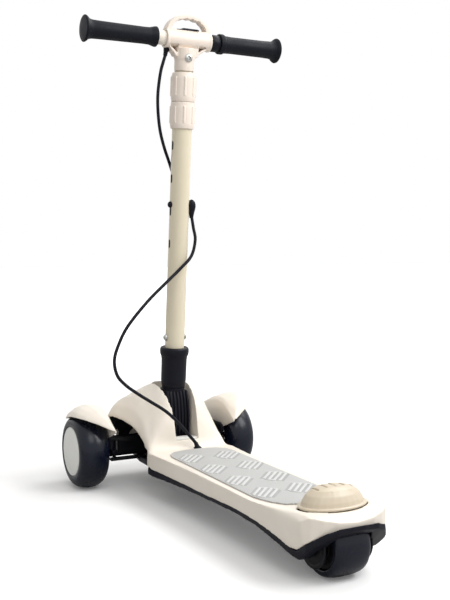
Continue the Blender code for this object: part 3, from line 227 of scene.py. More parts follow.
def extruded(name, outline, low, high, place):
    """A flat outline of (u, v) drawn out from low to high, where place turns (u, v, depth) into a point."""
    count = len(outline)
    points = [place(u, v, low) for u, v in outline] + [place(u, v, high) for u, v in outline]
    faces = [tuple(range(count)), tuple(range(2 * count - 1, count - 1, -1))]
    faces += [(i, i + count, (i + 1) % count + count, (i + 1) % count) for i in range(count)]
    return facing_out(outline_piece(name, points, [], faces))


def copied(node, name):
    """The CAD node's mesh as a new object, its loose triangles merged."""
    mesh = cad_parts[node].data.copy()
    mesh.materials.clear()
    piece = bpy.data.objects.new(name, mesh)
    bpy.context.collection.objects.link(piece)
    only(piece)
    bpy.ops.object.mode_set(mode="EDIT")
    bpy.ops.mesh.select_all(action="SELECT")
    bpy.ops.mesh.remove_doubles(threshold=0.00001)
    bpy.ops.object.mode_set(mode="OBJECT")
    return piece


def sharp_points(piece, angle, spacing):
    """Points along the edges that turn by more than the angle."""
    shape = bmesh.new()
    shape.from_mesh(piece.data)
    found = []
    for edge in shape.edges:
        if len(edge.link_faces) != 2 or edge.calc_face_angle(0) > angle:
            a, b = edge.verts[0].co, edge.verts[1].co
            count = max(1, int((b - a).length / spacing))
            found += [a.lerp(b, i / count) for i in range(count + 1)]
    shape.free()
    return found


# How near to a rim a crisp piece's skin is drawn onto it, in grains of the remesh
RIM_PULL = 0.8


def moulded(piece, grain, light=3, heavy=30, reach=9.0, angle=50.0, limit=190000, soft=(), crisp=False):
    """Makes one even skin over the piece, as if moulded.

    Its faces flow into each other, while rims and corners keep a small radius, except within the soft
    places, given as a point and a radius in millimetres. A crisp piece has its skin drawn onto the rims
    first, so that long straight rims stay straight.
    """
    rims = [p for p in sharp_points(piece, radians(angle), 0.5 * MM)
            if not any((p / MM - Vector(c)).length < r for c, r in soft)]
    tree = KDTree(len(rims))
    for i, point in enumerate(rims):
        tree.insert(point, i)
    tree.balance()
    modified(piece, "REMESH", mode="VOXEL", voxel_size=grain * MM, adaptivity=0.0)
    if crisp:
        for vertex in piece.data.vertices:
            point, _, away = tree.find(vertex.co)
            if away < RIM_PULL * grain * MM:
                vertex.co = point
    modified(piece, "SMOOTH", factor=0.5, iterations=light)
    if heavy:
        group = piece.vertex_groups.new(name="faces")
        for vertex in piece.data.vertices:
            away = tree.find(vertex.co)[2] / MM
            group.add([vertex.index], min(1.0, max(0.0, (away - grain * 1.5) / reach)), "REPLACE")
        modified(piece, "SMOOTH", factor=0.5, iterations=heavy, vertex_group="faces")
        piece.vertex_groups.clear()
    triangles = sum(len(p.vertices) - 2 for p in piece.data.polygons)
    if triangles > limit:
        modified(piece, "DECIMATE", ratio=limit / triangles)
    only(piece)
    bpy.ops.object.shade_smooth()
    return piece


# finishes
def linear(code):
    """An sRGB hex colour as linear red, green, blue and 1."""
    values = [int(code[i:i + 2], 16) / 255 for i in (1, 3, 5)]
    return tuple(v / 12.92 if v <= 0.04045 else ((v + 0.055) / 1.055) ** 2.4 for v in values) + (1.0,)


def node(tree, kind, links=(), **settings):
    """Adds a node: settings name its properties, links give each input a value or another node's output."""
    made = tree.nodes.new(kind)
    for key, value in settings.items():
        setattr(made, key, value)
    for socket, value in dict(links).items():
        if isinstance(value, bpy.types.NodeSocket):
            tree.links.new(value, made.inputs[socket])
        else:
            made.inputs[socket].default_value = value
    return made


def finish(name, colour, other, rough, spread, grain_mm, depth_mm, cloud_mm=70.0, metallic=0.0, ior=1.5,
           relief=None):
    """One finish: two near colours in soft clouds, a roughness that wanders and a fine grain of real size."""
    material = bpy.data.materials.new(name)
    material.use_nodes = True
    tree = material.node_tree
    tree.nodes.clear()
    place = node(tree, "ShaderNodeTexCoord").outputs["Object"]
    cloud = node(tree, "ShaderNodeTexNoise", {"Vector": place, "Scale": 1000 / cloud_mm, "Detail": 4.0})
    ramp = node(tree, "ShaderNodeMapRange", {"Value": cloud.outputs["Fac"], "From Min": 0.35,
                                             "From Max": 0.65})
    tint = node(tree, "ShaderNodeMix", {0: ramp.outputs["Result"], 6: linear(colour), 7: linear(other)},
                data_type="RGBA")
    wander = node(tree, "ShaderNodeTexNoise", {"Vector": place, "Scale": 1000 / (cloud_mm * 0.3),
                                               "Detail": 5.0})
    gloss = node(tree, "ShaderNodeMapRange", {"Value": wander.outputs["Fac"], "From Min": 0.3,
                                              "From Max": 0.7, "To Min": rough - spread,
                                              "To Max": rough + spread})
    grain = node(tree, "ShaderNodeTexNoise", {"Vector": place, "Scale": 1000 / grain_mm, "Detail": 2.0})
    bump = node(tree, "ShaderNodeBump", {"Height": grain.outputs["Fac"], "Strength": 1.0,
                                         "Distance": depth_mm * MM})
    if relief:
        bump, tint = relief(tree, place, bump, tint)
    shader = node(tree, "ShaderNodeBsdfPrincipled", {"Base Color": tint.outputs[2],
                                                     "Roughness": gloss.outputs["Result"],
                                                     "Normal": bump.outputs["Normal"],
                                                     "Metallic": metallic})
    if not metallic:
        shader.inputs["IOR"].default_value = ior
    node(tree, "ShaderNodeOutputMaterial", {"Surface": shader.outputs["BSDF"]})
    return material


DOT_PITCH_MM = 3.2


def dots_with_painted_shade(tree, place, bump, tint):
    """Small round dots in rows, a little lighter than the ground between them; the darker ground is painted
    shade in the hollows between the raised dots.
    """
    dots = node(tree, "ShaderNodeTexVoronoi", {"Vector": place, "Scale": 1000 / DOT_PITCH_MM,
                                               "Randomness": 0.0}, voronoi_dimensions="2D")
    peak = node(tree, "ShaderNodeMapRange", {"Value": dots.outputs["Distance"], "From Min": 0.22,
                                             "From Max": 0.44, "To Min": 1.0, "To Max": 0.0})
    bump = node(tree, "ShaderNodeBump", {"Height": peak.outputs["Result"], "Strength": 1.0,
                                         "Distance": 0.5 * MM, "Normal": bump.outputs["Normal"]})
    # The ground between the dots is painted darker grey as shade
    tint = node(tree, "ShaderNodeMix", {0: peak.outputs["Result"], 6: linear("#B4B4B3"), 7: tint.outputs[2]},
                data_type="RGBA")
    return bump, tint


# Injection-moulded ABS from a lightly sparked tool: an even warm cream with a soft sheen
cream_abs = finish("cream_abs", "#EFE7DB", "#EBE2D5", 0.38, 0.05, 0.9, 0.015)
# The same ABS in the tones of the other mouldings: the head and collars a little rosier, the dome a beige
rosy_abs = finish("rosy_cream_abs", "#F1E4D8", "#ECDFD2", 0.38, 0.05, 0.9, 0.015)
beige_abs = finish("beige_abs", "#CFC2AD", "#C9BCA6", 0.36, 0.05, 0.9, 0.015)
# Powder coat on steel tube: a little glossier, with the orange peel of fused powder
powder_coat = finish("cream_powder_coat", "#DFD5BD", "#DDD3BA", 0.24, 0.015, 1.6, 0.004)
# Glass-filled nylon, moulded: black, satin, faintly grained
black_nylon = finish("black_nylon", "#10111A", "#13141D", 0.46, 0.08, 0.8, 0.03, ior=1.26)
# Soft moulded rubber of the grips, boot and clip
black_rubber = finish("black_rubber", "#0F1119", "#12141C", 0.55, 0.08, 1.1, 0.04, ior=1.26)
# Cast polyurethane tyre: dark navy, smooth, with a semi-gloss skin
tyre_pu = finish("navy_polyurethane", "#080D1C", "#0A1021", 0.27, 0.05, 2.0, 0.004, ior=1.38)
# Light grey thermoplastic rubber, matt, with fine dots between the bars; the ground between the dots is
# painted darker as shade
mat_rubber = finish("grey_tpr", "#D1D1CF", "#CDCDCB", 0.62, 0.05, 0.8, 0.04, relief=dots_with_painted_shade)
bar_rubber = finish("grey_tpr_bars", "#CFCFCE", "#CBCBCA", 0.50, 0.05, 0.8, 0.03)
# Darker grey strips laid between the bars: painted shade in the grooves, not a colour of the rubber
groove_painted_shade = finish("grey_tpr_painted_groove_shade", "#A9A9A8", "#A3A3A2", 0.70, 0.05, 0.8, 0.04)
# Light grey ABS of the wheel discs
grey_abs = finish("grey_abs", "#EBEBE7", "#E6E6E1", 0.42, 0.05, 0.9, 0.02)
# Painted aluminium of the axle beam
painted_metal = finish("black_painted_aluminium", "#0C0D11", "#101116", 0.42, 0.08, 1.2, 0.03, ior=1.3)
# Zinc-plated steel: bright, faintly clouded
zinc_steel = finish("zinc_plated_steel", "#C9C9C6", "#B9BAB8", 0.30, 0.08, 0.7, 0.02, cloud_mm=12.0,
                    metallic=1.0)
FINISHES = {"cream_abs": cream_abs, "cream_paint": powder_coat, "black_plastic": black_nylon,
            "black_rubber": black_rubber, "navy_tyre": tyre_pu, "grey_mat": mat_rubber,
            "grey_plastic": grey_abs, "black_metal": painted_metal, "steel": zinc_steel}


def done(piece, body, slot, *nodes, finish_with=None):
    """Gives a finished piece its finish, its body and the CAD nodes it stands for."""
    if not piece.data.materials:
        piece.data.materials.append(finish_with or FINISHES[slot])
    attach(piece, body)
    if nodes:
        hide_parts(*nodes)
    return piece


# cable, as two cords; each stop is (x, place along the scooter from the front axle, height)
def flowing(stops, spacing):
    """Points along one smooth line through the stops."""
    stops = [Vector(p) for p in stops]
    ends = [stops[0] * 2 - stops[1]] + stops + [stops[-1] * 2 - stops[-2]]
    line = []
    for p0, p1, p2, p3 in zip(ends, ends[1:], ends[2:], ends[3:]):
        count = max(2, round((p2 - p1).length / spacing))
        for i in range(count):
            t = i / count
            line.append(0.5 * (2 * p1 + (p2 - p0) * t + (2 * p0 - 5 * p1 + 4 * p2 - p3) * t * t
                               + (3 * p1 - p0 - 3 * p2 + p3) * t ** 3))
    line.append(stops[-1])
    return line


CABLE_TOP = [(-29.5, -99, 691.2), (-31.5, -98.7, 681), (-34.5, -98.3, 671), (-38.5, -97, 655),
             (-42, -95, 625), (-41.3, -93, 598), (-36.7, -90, 568.5), (-26.5, -82.5, 543.5),
             (-12.6, -72, 520), (-2, -66, 497), (2, -63.8, 481), (2, -63, 471.4)]
CABLE_BOTTOM = [(20.2, -83.4, 439.2), (20.8, -85, 430), (21.6, -88, 417), (22.6, -92, 399),
                (13.7, -96, 373.7), (-8.5, -101, 353.5), (-33, -106, 334), (-68.6, -112, 304.5),
                (-103, -118, 269),
                (-119.5, -121, 241.6), (-127, -123, 219), (-123.6, -125, 197), (-110.7, -126, 181.4),
                (-91, -127, 166.5), (-69.8, -127, 152.6), (-48.3, -127, 138.5), (-32, -127, 124.5),
                (-15.7, -126, 107.4), (-2.6, -124, 92.6), (7.6, -123.3, 80.8), (12.4, -123, 69)]
CABLE_R = 2.5


def cable(name, route, node_name):
    """One stretch of the cable, with its exit at the first stop, that stretches between two bodies."""
    line = flowing([(x, FRONT_AXLE_Y + o, z) for x, o, z in route], 4.0)
    curve = bpy.data.curves.new(name, "CURVE")
    curve.dimensions = "3D"
    spline = curve.splines.new("POLY")
    spline.points.add(len(line) - 1)
    for point, place in zip(spline.points, line):
        point.co = (*(place * MM), 1.0)
    curve.bevel_depth = CABLE_R * MM
    curve.bevel_resolution = 4
    curve.use_fill_caps = True
    piece = bpy.data.objects.new(name, curve)
    bpy.context.collection.objects.link(piece)
    only(piece)
    bpy.ops.object.convert(target="MESH")
    piece = bpy.context.object
    piece.name = name
    smooth(piece, 50)
    piece.data.materials.append(black_rubber)
    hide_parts(node_name)
    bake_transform(piece)
    return piece


def relief(name, root, tip, base, body):
    """A soft tapered sleeve where the cable leaves a housing, with three rings."""
    root, tip = (Vector((x, FRONT_AXLE_Y + o, z)) for x, o, z in (root, tip))
    way = (tip - root).normalized()
    length = (tip - root).length
    profile = [(CABLE_R - 0.1, -1.0), (base, -1.0), (base, 0.0)]
    for i in range(3):
        start = length * (0.12 + 0.24 * i)
        wide = base + (CABLE_R + 0.7 - base) * start / length
        profile += [(wide, start), (wide - 0.7, start + 0.6), (wide - 0.8, start + 1.3),
                    (wide - 0.2, start + 1.9)]
    profile += [(CABLE_R + 0.5, length), (CABLE_R - 0.1, length)]
    sleeve = spun(name, profile, root, way, way.orthogonal().normalized(), steps=32, closed=True)
    return done(sleeve, body, "black_rubber")


relief("cable_relief_head", CABLE_TOP[0], CABLE_TOP[1], 4.4, "column")
relief("cable_relief_deck", (10.8, -123.1, 73.5), (7.6, -123.3, 81.2), 4.3, "chassis")
cable("cable_to_head", CABLE_TOP, "cable_upper")
cable("cable_to_deck", CABLE_BOTTOM, "cable_lower")

# deck and cowl; the soft places are where the real mouldings have no rim, as (x, y, z) and a radius
SHELL_SOFT = [((side * x, y, z), r) for side in (-1, 1)
              for x, y, z, r in ((68, 139, 72, 17), (69, 136, 49, 9), (59, -263, 38, 10), (50, -294, 68, 7))]
TRAY_SOFT = [((side * x, y, z), r) for side in (-1, 1)
             for x, y, z, r in ((56, -264, 27, 12), (66, 143, 38, 19), (45, -300, 55, 9))]
shell = moulded(copied("body_shell", "deck_and_cowl"), 1.4, light=5, heavy=55, reach=11.0, soft=SHELL_SOFT,
                crisp=True)
done(shell, "chassis", "cream_abs", "body_shell")

# The cowl's lining: its thickness, how far it reaches behind the front axle, how low it goes, and how far
# it stands off the stem's channel, which ends the last length behind the front axle
LINING, LINING_REACH, LINING_LOW = 0.3, 112.0, 62.0
CHANNEL_MARGIN, CHANNEL_FRONT = 6.5, 20.0
# The height of the middle of the cowl's arch, how flat the arch is, and its thickest wall
ARCH_MIDDLE_Z, ARCH_FLATNESS, THICKEST_WALL = 95.0, 0.8, 4.6
# Half of the channel as (height, half width)
CHANNEL_SIDE = [(84.0, 20.0), (148.0, 23.0), (160.0, 25.4), (172.0, 28.4), (210.0, 28.4)]


def channel_half_width(z):
    """Half of the channel's width at a height."""
    for (a, u), (b, v) in zip(CHANNEL_SIDE, CHANNEL_SIDE[1:]):
        if z <= b:
            return u + (v - u) * max(0.0, z - a) / (b - a)
    return CHANNEL_SIDE[-1][1]


def inside_cowl(face, tree):
    """Whether a face of the shell belongs to the inner side of the cowl's thin wall."""
    place, normal = face.calc_center_median(), face.normal
    x, y, z = place / MM
    if y < FRONT_AXLE_Y - LINING_REACH or z < LINING_LOW or normal.z > 0.2:
        return False
    outwards = normal.dot(Vector((x, 0, (z - ARCH_MIDDLE_Z) * ARCH_FLATNESS)))
    near_channel = abs(x) < channel_half_width(z) + CHANNEL_MARGIN and y < FRONT_AXLE_Y - CHANNEL_FRONT
    if near_channel or outwards >= 0:
        return False
    wall = tree.ray_cast(place - normal * 0.05 * MM, -normal, 12 * MM)[3]
    return wall is not None and wall < THICKEST_WALL * MM


def cowl_lining(outer):
    """The black inner skin under the cowl: the faces of the shell's inner side, lifted off it."""
    shape = bmesh.new()
    shape.from_mesh(outer.data)
    shape.faces.ensure_lookup_table()
    tree = BVHTree.FromBMesh(shape)
    bmesh.ops.delete(shape, geom=[f for f in shape.faces if not inside_cowl(f, tree)], context="FACES")
    mesh = bpy.data.meshes.new("cowl_lining")
    shape.to_mesh(mesh)
    shape.free()
    lining = bpy.data.objects.new("cowl_lining", mesh)
    bpy.context.collection.objects.link(lining)
    modified(lining, "SOLIDIFY", thickness=LINING * MM, offset=1.0)
    only(lining)
    bpy.ops.object.shade_smooth()
    return done(lining, "chassis", "black_plastic")


cowl_lining(shell)
tray = moulded(copied("under_tray", "tray_and_liner"), 1.2, light=6, heavy=20, reach=8.0, soft=TRAY_SOFT,
               crisp=True)
done(tray, "chassis", "black_plastic", "under_tray")

# The deck's surface: its level height, and how it rises to the rear as (place from the front axle, rise)
DECK_TOP_Z = 72.0
DECK_RISE = [(-92, 0), (-411, 0), (-437, 1.6), (-463, 4.2), (-487, 7.4), (-511, 10.0), (-530, 11.0)]


def deck_height(y):
    """Height of the deck's surface, in millimetres, at a place along the scooter."""
    offset = y - FRONT_AXLE_Y
    for (a, u), (b, v) in zip(DECK_RISE, DECK_RISE[1:]):
        if b <= offset <= a:
            return DECK_TOP_Z + u + (v - u) * (a - offset) / (a - b)
    return DECK_TOP_Z + (0 if offset > DECK_RISE[0][0] else DECK_RISE[-1][1])


mat = copied("deck_mat", "deck_mat_sheet")
modified(mat, "BEVEL", width=1.2 * MM, segments=3, limit_method="ANGLE", angle_limit=radians(40))
smooth(mat, 40)
done(mat, "chassis", "grey_mat", "deck_mat")
MAT_TOP = 1.9
PEDAL = (0.0, REAR_AXLE_Y + 7.5, 82.0)
# The lip round the brake's opening: half width, reach to the front and reach to the rear, inside and
# outside. The pressed dome moves back a little, so the lip stands further off behind it.
LIP_INSIDE, LIP_OUTSIDE = (46.3, 29.35, 30.75), (47.8, 31.6, 31.9)
LIP_TOP, LIP_FOOT = 0.8, 2.4


def opening_rim():
    """The moulded lip around the brake's opening, a little below the deck's surface."""
    points, faces, count = [], [], 96
    for (half_x, fore, back), low in ((LIP_INSIDE, LIP_TOP), (LIP_OUTSIDE, LIP_TOP), (LIP_OUTSIDE, LIP_FOOT),
                                      (LIP_INSIDE, LIP_FOOT)):
        for i in range(count):
            t = 2 * pi * i / count
            y = PEDAL[1] + (fore if i < count / 2 else back) * sin(t)
            points.append((half_x * cos(t), y, deck_height(y) - low))
    for ring in range(4):
        for i in range(count):
            j = (i + 1) % count
            after = (ring + 1) % 4
            faces.append((ring * count + i, ring * count + j, after * count + j, after * count + i))
    rim = facing_out(outline_piece("brake_opening_rim", points, [], faces))
    return done(smooth(rim, 40), "chassis", "cream_abs", finish_with=beige_abs)


opening_rim()

# Centres of the groups of bars on the mat, and how the bars lie
BAR_GROUPS = [(-33, 64), (-32, -8), (-31, -80), (-29, -148), (27, 60), (26, -12), (25, -83), (23, -150)]
BAR_ANGLE = radians(46)
BAR_ALONG = Vector((cos(BAR_ANGLE), sin(BAR_ANGLE), 0.0))
BAR_STEP = Vector((sin(BAR_ANGLE), -cos(BAR_ANGLE), 0.0))
BAR_PITCH = 7.6
BAR_LENGTHS = [39.0, 46.0, 46.0, 41.0]
BAR_WIDTH = 3.5
BAR_DEPTH = 1.8
BAR_SHIFT = 1.2
GROOVE_SHADE_WIDTH = BAR_PITCH - BAR_WIDTH + 0.5
GROOVE_SHADE_DEPTH = 0.3
# Half of the outline that the bars stay in, 2 mm inside the mat's edge, from its front to its rear
BAR_FIELD = [(0, -132.8), (19.6, -133.8), (35, -138.6), (45.2, -148.6), (48.8, -163), (48.8, -404),
             (44, -443)]
# Blocks nearer the middle than this, and further behind the front axle, lie in the field as they are
SURE_HALF_WIDTH, SURE_FRONT = 42, 150


def on_mat(pieces, name, lift, finish_with):
    """Joins flat pieces drawn at height nought and lays them on the mat."""
    sheet = joined(pieces[0], *pieces[1:])
    sheet.name = name
    for vertex in sheet.data.vertices:
        vertex.co.z += (deck_height(vertex.co.y / MM) + MAT_TOP + lift) * MM
    smooth(sheet, 40)
    return done(sheet, "chassis", "grey_mat", finish_with=finish_with)


def kept_inside(piece, field):
    """Trims a block that reaches beyond the field of bars."""
    if any(abs(v.co.x / MM) > SURE_HALF_WIDTH or v.co.y / MM > FRONT_AXLE_Y - SURE_FRONT
           for v in piece.data.vertices):
        modified(piece, "BOOLEAN", operation="INTERSECT", object=field, solver="EXACT")
    return piece


def mat_pattern():
    """Slanting raised bars in groups of four, joined in turn at their ends, with thin darker strips between
    them as painted shade in the grooves.
    """
    bars = []
    grooves = []
    edge = [(x, FRONT_AXLE_Y + o) for x, o in BAR_FIELD]
    edge += [(-x, y) for x, y in edge[:0:-1]]
    field = extruded("bar_field", edge, -5.0, 5.0, lambda u, v, z: (u, v, z))
    flat = Quaternion((0, 0, 1), BAR_ANGLE)
    for x, y in BAR_GROUPS:
        for i, length in enumerate(BAR_LENGTHS):
            middle = Vector((x, y, 0)) + (BAR_STEP * BAR_PITCH - BAR_ALONG * BAR_SHIFT) * (i - 1.5)
            bars.append(block("bar", middle, (length, BAR_WIDTH, BAR_DEPTH), flat))
            # A thin darker strip in the gap beside each bar is painted shade for the groove
            gap = middle - BAR_STEP * BAR_PITCH / 2
            grooves.append(block("groove", gap, (length, GROOVE_SHADE_WIDTH, GROOVE_SHADE_DEPTH), flat))
            if i < 3:
                end = 1 if i % 2 == 0 else -1
                link = middle + BAR_STEP * BAR_PITCH / 2 + BAR_ALONG * end * (length / 2 - BAR_WIDTH / 2)
                bars.append(block("link", link, (BAR_WIDTH, BAR_PITCH, BAR_DEPTH - 0.02), flat))
            else:
                gap = middle + BAR_STEP * BAR_PITCH / 2
                grooves.append(block("groove", gap, (length, GROOVE_SHADE_WIDTH, GROOVE_SHADE_DEPTH), flat))
    bars = [kept_inside(bar, field) for bar in bars]
    grooves = [kept_inside(groove, field) for groove in grooves]
    bpy.data.objects.remove(field)
    bars = joined(bars[0], *bars[1:])
    modified(bars, "BEVEL", width=0.4 * MM, segments=2, limit_method="ANGLE")
    on_mat([bars], "mat_bars", 0.0, bar_rubber)
    # The darker strips between the bars are painted shade
    on_mat(grooves, "mat_painted_groove_shade", -0.08, groove_painted_shade)


mat_pattern()


# wheels: how deep the rounding of each tyre's tread is, and half of each tyre's width
FRONT_TREAD, FRONT_HALF_WIDTH = 17.5, 24.5
REAR_TREAD, REAR_HALF_WIDTH = 8.6, 24.3


def tread(radius, depth, half_width, fullness, steps):
    """The round outside of a tyre, from its outer side over to its inner side."""
    angles = [pi * i / steps for i in range(steps + 1)]
    return [(radius - depth + depth * sin(t) ** fullness, half_width * cos(t)) for t in angles]


def wheel(side, word):
    """A front wheel: the tyre's skin and the disc in it, with a ring groove near the disc's rim."""
    axis, out, centre = ACROSS * side, Vector((0, 0, 1)), (side * HALF_TRACK, FRONT_AXLE_Y, FRONT_TYRE_R)
    profile = [(39.4, 23.6), (41.2, FRONT_HALF_WIDTH)]
    profile += tread(FRONT_TYRE_R, FRONT_TREAD, FRONT_HALF_WIDTH, 0.85, 28)[1:-1]
    profile += [(41.2, -FRONT_HALF_WIDTH), (34.3, -24.3), (34.3, 20.3), (39.4, 20.3)]
    tyre = spun(f"tyre_{word}_skin", profile, centre, axis, out, steps=128, closed=True)
    done(tyre, f"wheel_{word[0]}", "navy_tyre", f"tyre_{word}")
    cap = [(0, 26.0), (10, 25.95), (24, 25.6), (33.0, 25.0), (35.2, 24.8), (35.6, 24.1), (36.4, 24.1),
           (36.9, 24.6), (38.2, 24.3), (38.8, 23.4), (38.8, 20.7), (0, 20.7)]
    disc = spun(f"wheel_disc_{word}", cap, centre, axis, out, steps=128, ease=0.5)
    done(disc, f"wheel_{word[0]}", "grey_plastic", f"hub_cap_{word}")


for side, word in ((-1, "left"), (1, "right")):
    wheel(side, word)

REAR_CENTRE = (0.0, REAR_AXLE_Y, REAR_TYRE_R)
profile = tread(REAR_TYRE_R, REAR_TREAD, REAR_HALF_WIDTH, 0.45, 24) + [(30.1, -23.4), (30.1, 23.4)]
rear = spun("rear_tyre_skin", profile, REAR_CENTRE, ACROSS, (0, 0, 1), steps=128, closed=True)
done(rear, "rear_wheel", "navy_tyre", "rear_tyre")
hub = [(5.4, 27.4), (12.0, 27.4), (12.8, 26.4), (13.4, 23.4), (18.0, 23.0), (18.6, 22.2), (21.0, 22.2),
       (21.6, 22.9), (26.6, 22.7), (28.6, 21.9), (29.4, 20.6)]
hub += [(r, -h) for r, h in reversed(hub)]
motor = spun("motor_hub_case", hub, REAR_CENTRE, ACROSS, (0, 0, 1), steps=96, ease=0.4, closed=True)
done(motor, "rear_wheel", "black_metal", "motor_hub")

for side, word in ((-1, "left"), (1, "right")):
    plate = copied(f"rear_bracket_{word}", f"rear_bracket_{word}_plate")
    disc = [(5.2, 31.7), (25.0, 31.7), (26.6, 32.4), (27.0, 33.4), (26.6, 34.4), (24.6, 34.9), (22.4, 34.7),
            (21.6, 34.2), (20.4, 34.7), (12.0, 35.3), (5.2, 35.3)]
    disc = spun("side_disc", disc, REAR_CENTRE, ACROSS * side, (0, 0, 1), steps=96, closed=True)
    done(smooth(joined(plate, disc), 30), "chassis", "black_metal", f"rear_bracket_{word}")
    nut = [(0, 41.0), (3.4, 40.7), (6.4, 39.4), (8.2, 37.2), (8.6, 35.0), (0, 35.0)]
    nut = spun(f"rear_axle_cap_{word}", nut, REAR_CENTRE, ACROSS * side, (0, 0, 1), steps=48, ease=0.6)
    done(nut, "chassis", "steel", f"rear_axle_nut_{word}", finish_with=painted_metal)

# fenders and brake
for word in ("left", "right"):
    cap = moulded(copied(f"fender_{word}", f"fender_{word}_moulding"), 0.9, light=2, heavy=40, reach=7.0)
    done(cap, f"knuckle_{word[0]}", "cream_abs", f"fender_{word}")

# Brake dome: the upper half of an egg shape with these half sizes, with five grooves over its top
DOME_X, DOME_Y, DOME_Z = 45.0, 29.0, 24.5
GROOVE_FROM, GROOVE_TO, GROOVE_HALF_WIDTH = 28, 102, 1.5
pedal = copied("brake_pedal", "brake_dome")
for place in (-24, -12, 0, 12, 24):
    keep = sqrt(1 - (place / DOME_X) ** 2)
    angles = [radians(GROOVE_FROM + (GROOVE_TO - GROOVE_FROM) * i / 21) for i in range(22)]
    floor_line = [(DOME_Y * keep * 0.945 * cos(t), DOME_Z * keep * 0.945 * sin(t)) for t in angles]
    air_line = [(DOME_Y * keep * 1.4 * cos(t), DOME_Z * keep * 1.4 * sin(t)) for t in angles[::-1]]
    cut(pedal, extruded("groove", floor_line + air_line, place - GROOVE_HALF_WIDTH, place + GROOVE_HALF_WIDTH,
                        lambda u, v, x: (x, PEDAL[1] + u, PEDAL[2] + v)))
pedal = moulded(pedal, 0.7, light=2, heavy=20, reach=6.0)
done(pedal, "brake", "cream_abs", "brake_pedal", finish_with=beige_abs)

# stem
base = copied("stem_base", "ribbed_stem_foot")
modified(base, "BEVEL", width=0.4 * MM, segments=2, limit_method="ANGLE")
smooth(base, 40)
done(base, "stem", "black_plastic", "stem_base")

boot = [(20.4, 157.6), (22.2, 157.0), (23.2, 155.0), (23.4, 150.5), (22.8, 146.2), (21.3, 143.0),
        (20.5, 138.0), (20.3, 127.5), (20.2, 104.0), (18.6, 92.4), (15.9, 92.4), (15.9, 157.6)]
socket = on_stem_spun("stem_boot", boot, ease=1.2, closed=True)
done(socket, "stem", "black_plastic", "stem_socket")

# Lower tube, with four upright slots on its left, each closed from behind by a thin black sheet of painted
# shade, so the slot reads dark
TUBE_R, TUBE_BORE, TUBE_FOOT, TUBE_TOP = 15.5, 14.0, 92.4, 543.0
LOWEST_SLOT, SLOT_STEP, SLOT_R, SLOT_HALF = 324.2, 51.2, 3.2, 3.8
slot_shade_sheets = []
profile = [(TUBE_R, TUBE_TOP), (TUBE_R, TUBE_FOOT), (TUBE_BORE, TUBE_FOOT), (TUBE_BORE, TUBE_TOP)]
tube = on_stem_spun("lower_stem_tube", profile, closed=True)
for i in range(4):
    slot = []
    for end, start_angle in ((SLOT_HALF, 0.0), (-SLOT_HALF, pi)):
        for k in range(9):
            t = start_angle + pi * k / 8
            slot.append((SLOT_R * cos(t), LOWEST_SLOT + SLOT_STEP * i + end + SLOT_R * sin(t)))
    cut(tube, extruded("slot", slot, -22, -5, lambda u, v, x: on_stem(x, u, v)))
    # A thin black sheet just inside each slot is painted shade for the hollow tube
    slot_shade_sheets.append(extruded("slot_painted_shade", slot, -14.7, -13.9, lambda u, v, x: on_stem(x, u, v)))
done(smooth(joined(slot_shade_sheets[0], *slot_shade_sheets[1:]), 40), "stem", "black_plastic")
smooth(tube, 30)
done(tube, "stem", "cream_paint", "lower_tube")


RIB_COUNT, FIRST_RIB = 8, radians(-62)


def ribbed_collar(name, low, high, radius, bore, body, node_name, top_radius):
    """A collar with narrow upright ribs between plain bands."""
    profile = [(top_radius, high), (radius - 0.9, high - 5.0), (radius - 0.5, high - 9.0),
               (radius - 0.5, low + 7.0), (radius - 0.9, low + 4.0), (radius - 1.8, low), (bore, low),
               (bore, high)]
    collar = on_stem_spun(name, profile, ease=0.8, closed=True)
    ribs = []
    for i in range(RIB_COUNT):
        angle = FIRST_RIB + 2 * pi * i / RIB_COUNT
        place = on_stem((radius - 0.9) * cos(angle), (radius - 0.9) * sin(angle), (low + high) / 2 + 1.0)
        turned = Quaternion(STEM_UP, angle) @ Quaternion(ACROSS, RAKE)
        rib = block("rib", place, (3.0, 2.6, high - low - 15.0), turned)
        ribs.append(rib)
    collar = joined(collar, *ribs)
    modified(collar, "REMESH", mode="VOXEL", voxel_size=0.55 * MM)
    modified(collar, "SMOOTH", factor=0.5, iterations=3)
    only(collar)
    bpy.ops.object.shade_smooth()
    return done(collar, body, "cream_abs", node_name, finish_with=rosy_abs)


ribbed_collar("lower_collar_ribbed", 503.8, 544.6, 19.7, 15.8, "stem", "collar_lower", 18.6)
ribbed_collar("upper_collar_ribbed", 545.0, 589.2, 19.8, 16.6, "collar", "collar_upper", 17.6)


def hex_screw(name, centre, axis, radius, height, body, node_name, depth=1.6):
    """A domed screw head with a hexagon socket, and its shank as in the CAD."""
    axis = Vector(axis).normalized()
    out = axis.orthogonal().normalized()
    profile = [(0, height), (radius * 0.55, height * 0.93), (radius * 0.86, height * 0.62),
               (radius, height * 0.2), (radius, 0.35), (2.2, 0.35), (2.2, -3.5), (0, -3.5)]
    head = spun(name, profile, centre, axis, out, steps=40, ease=0.3)
    top = Vector(centre) + axis * (height + 1)
    cut(head, rod("socket", top, Vector(centre) + axis * (height - depth), radius * 0.45, steps=6))
    smooth(head, 30)
    return done(head, body, "steel", node_name)


for side, word in ((-1, "left"), (1, "right")):
    hex_screw(f"stem_screw_head_{word}", on_stem(side * 15.3, 0, 173.7), ACROSS * side, 5.6, 4.2, "stem",
              f"stem_screw_{word}")
hex_screw("head_screw_head", on_stem(0, -16.0, 610.8), -STEM_FORE, 6.2, 2.6, "column", "head_screw",
          depth=2.4)

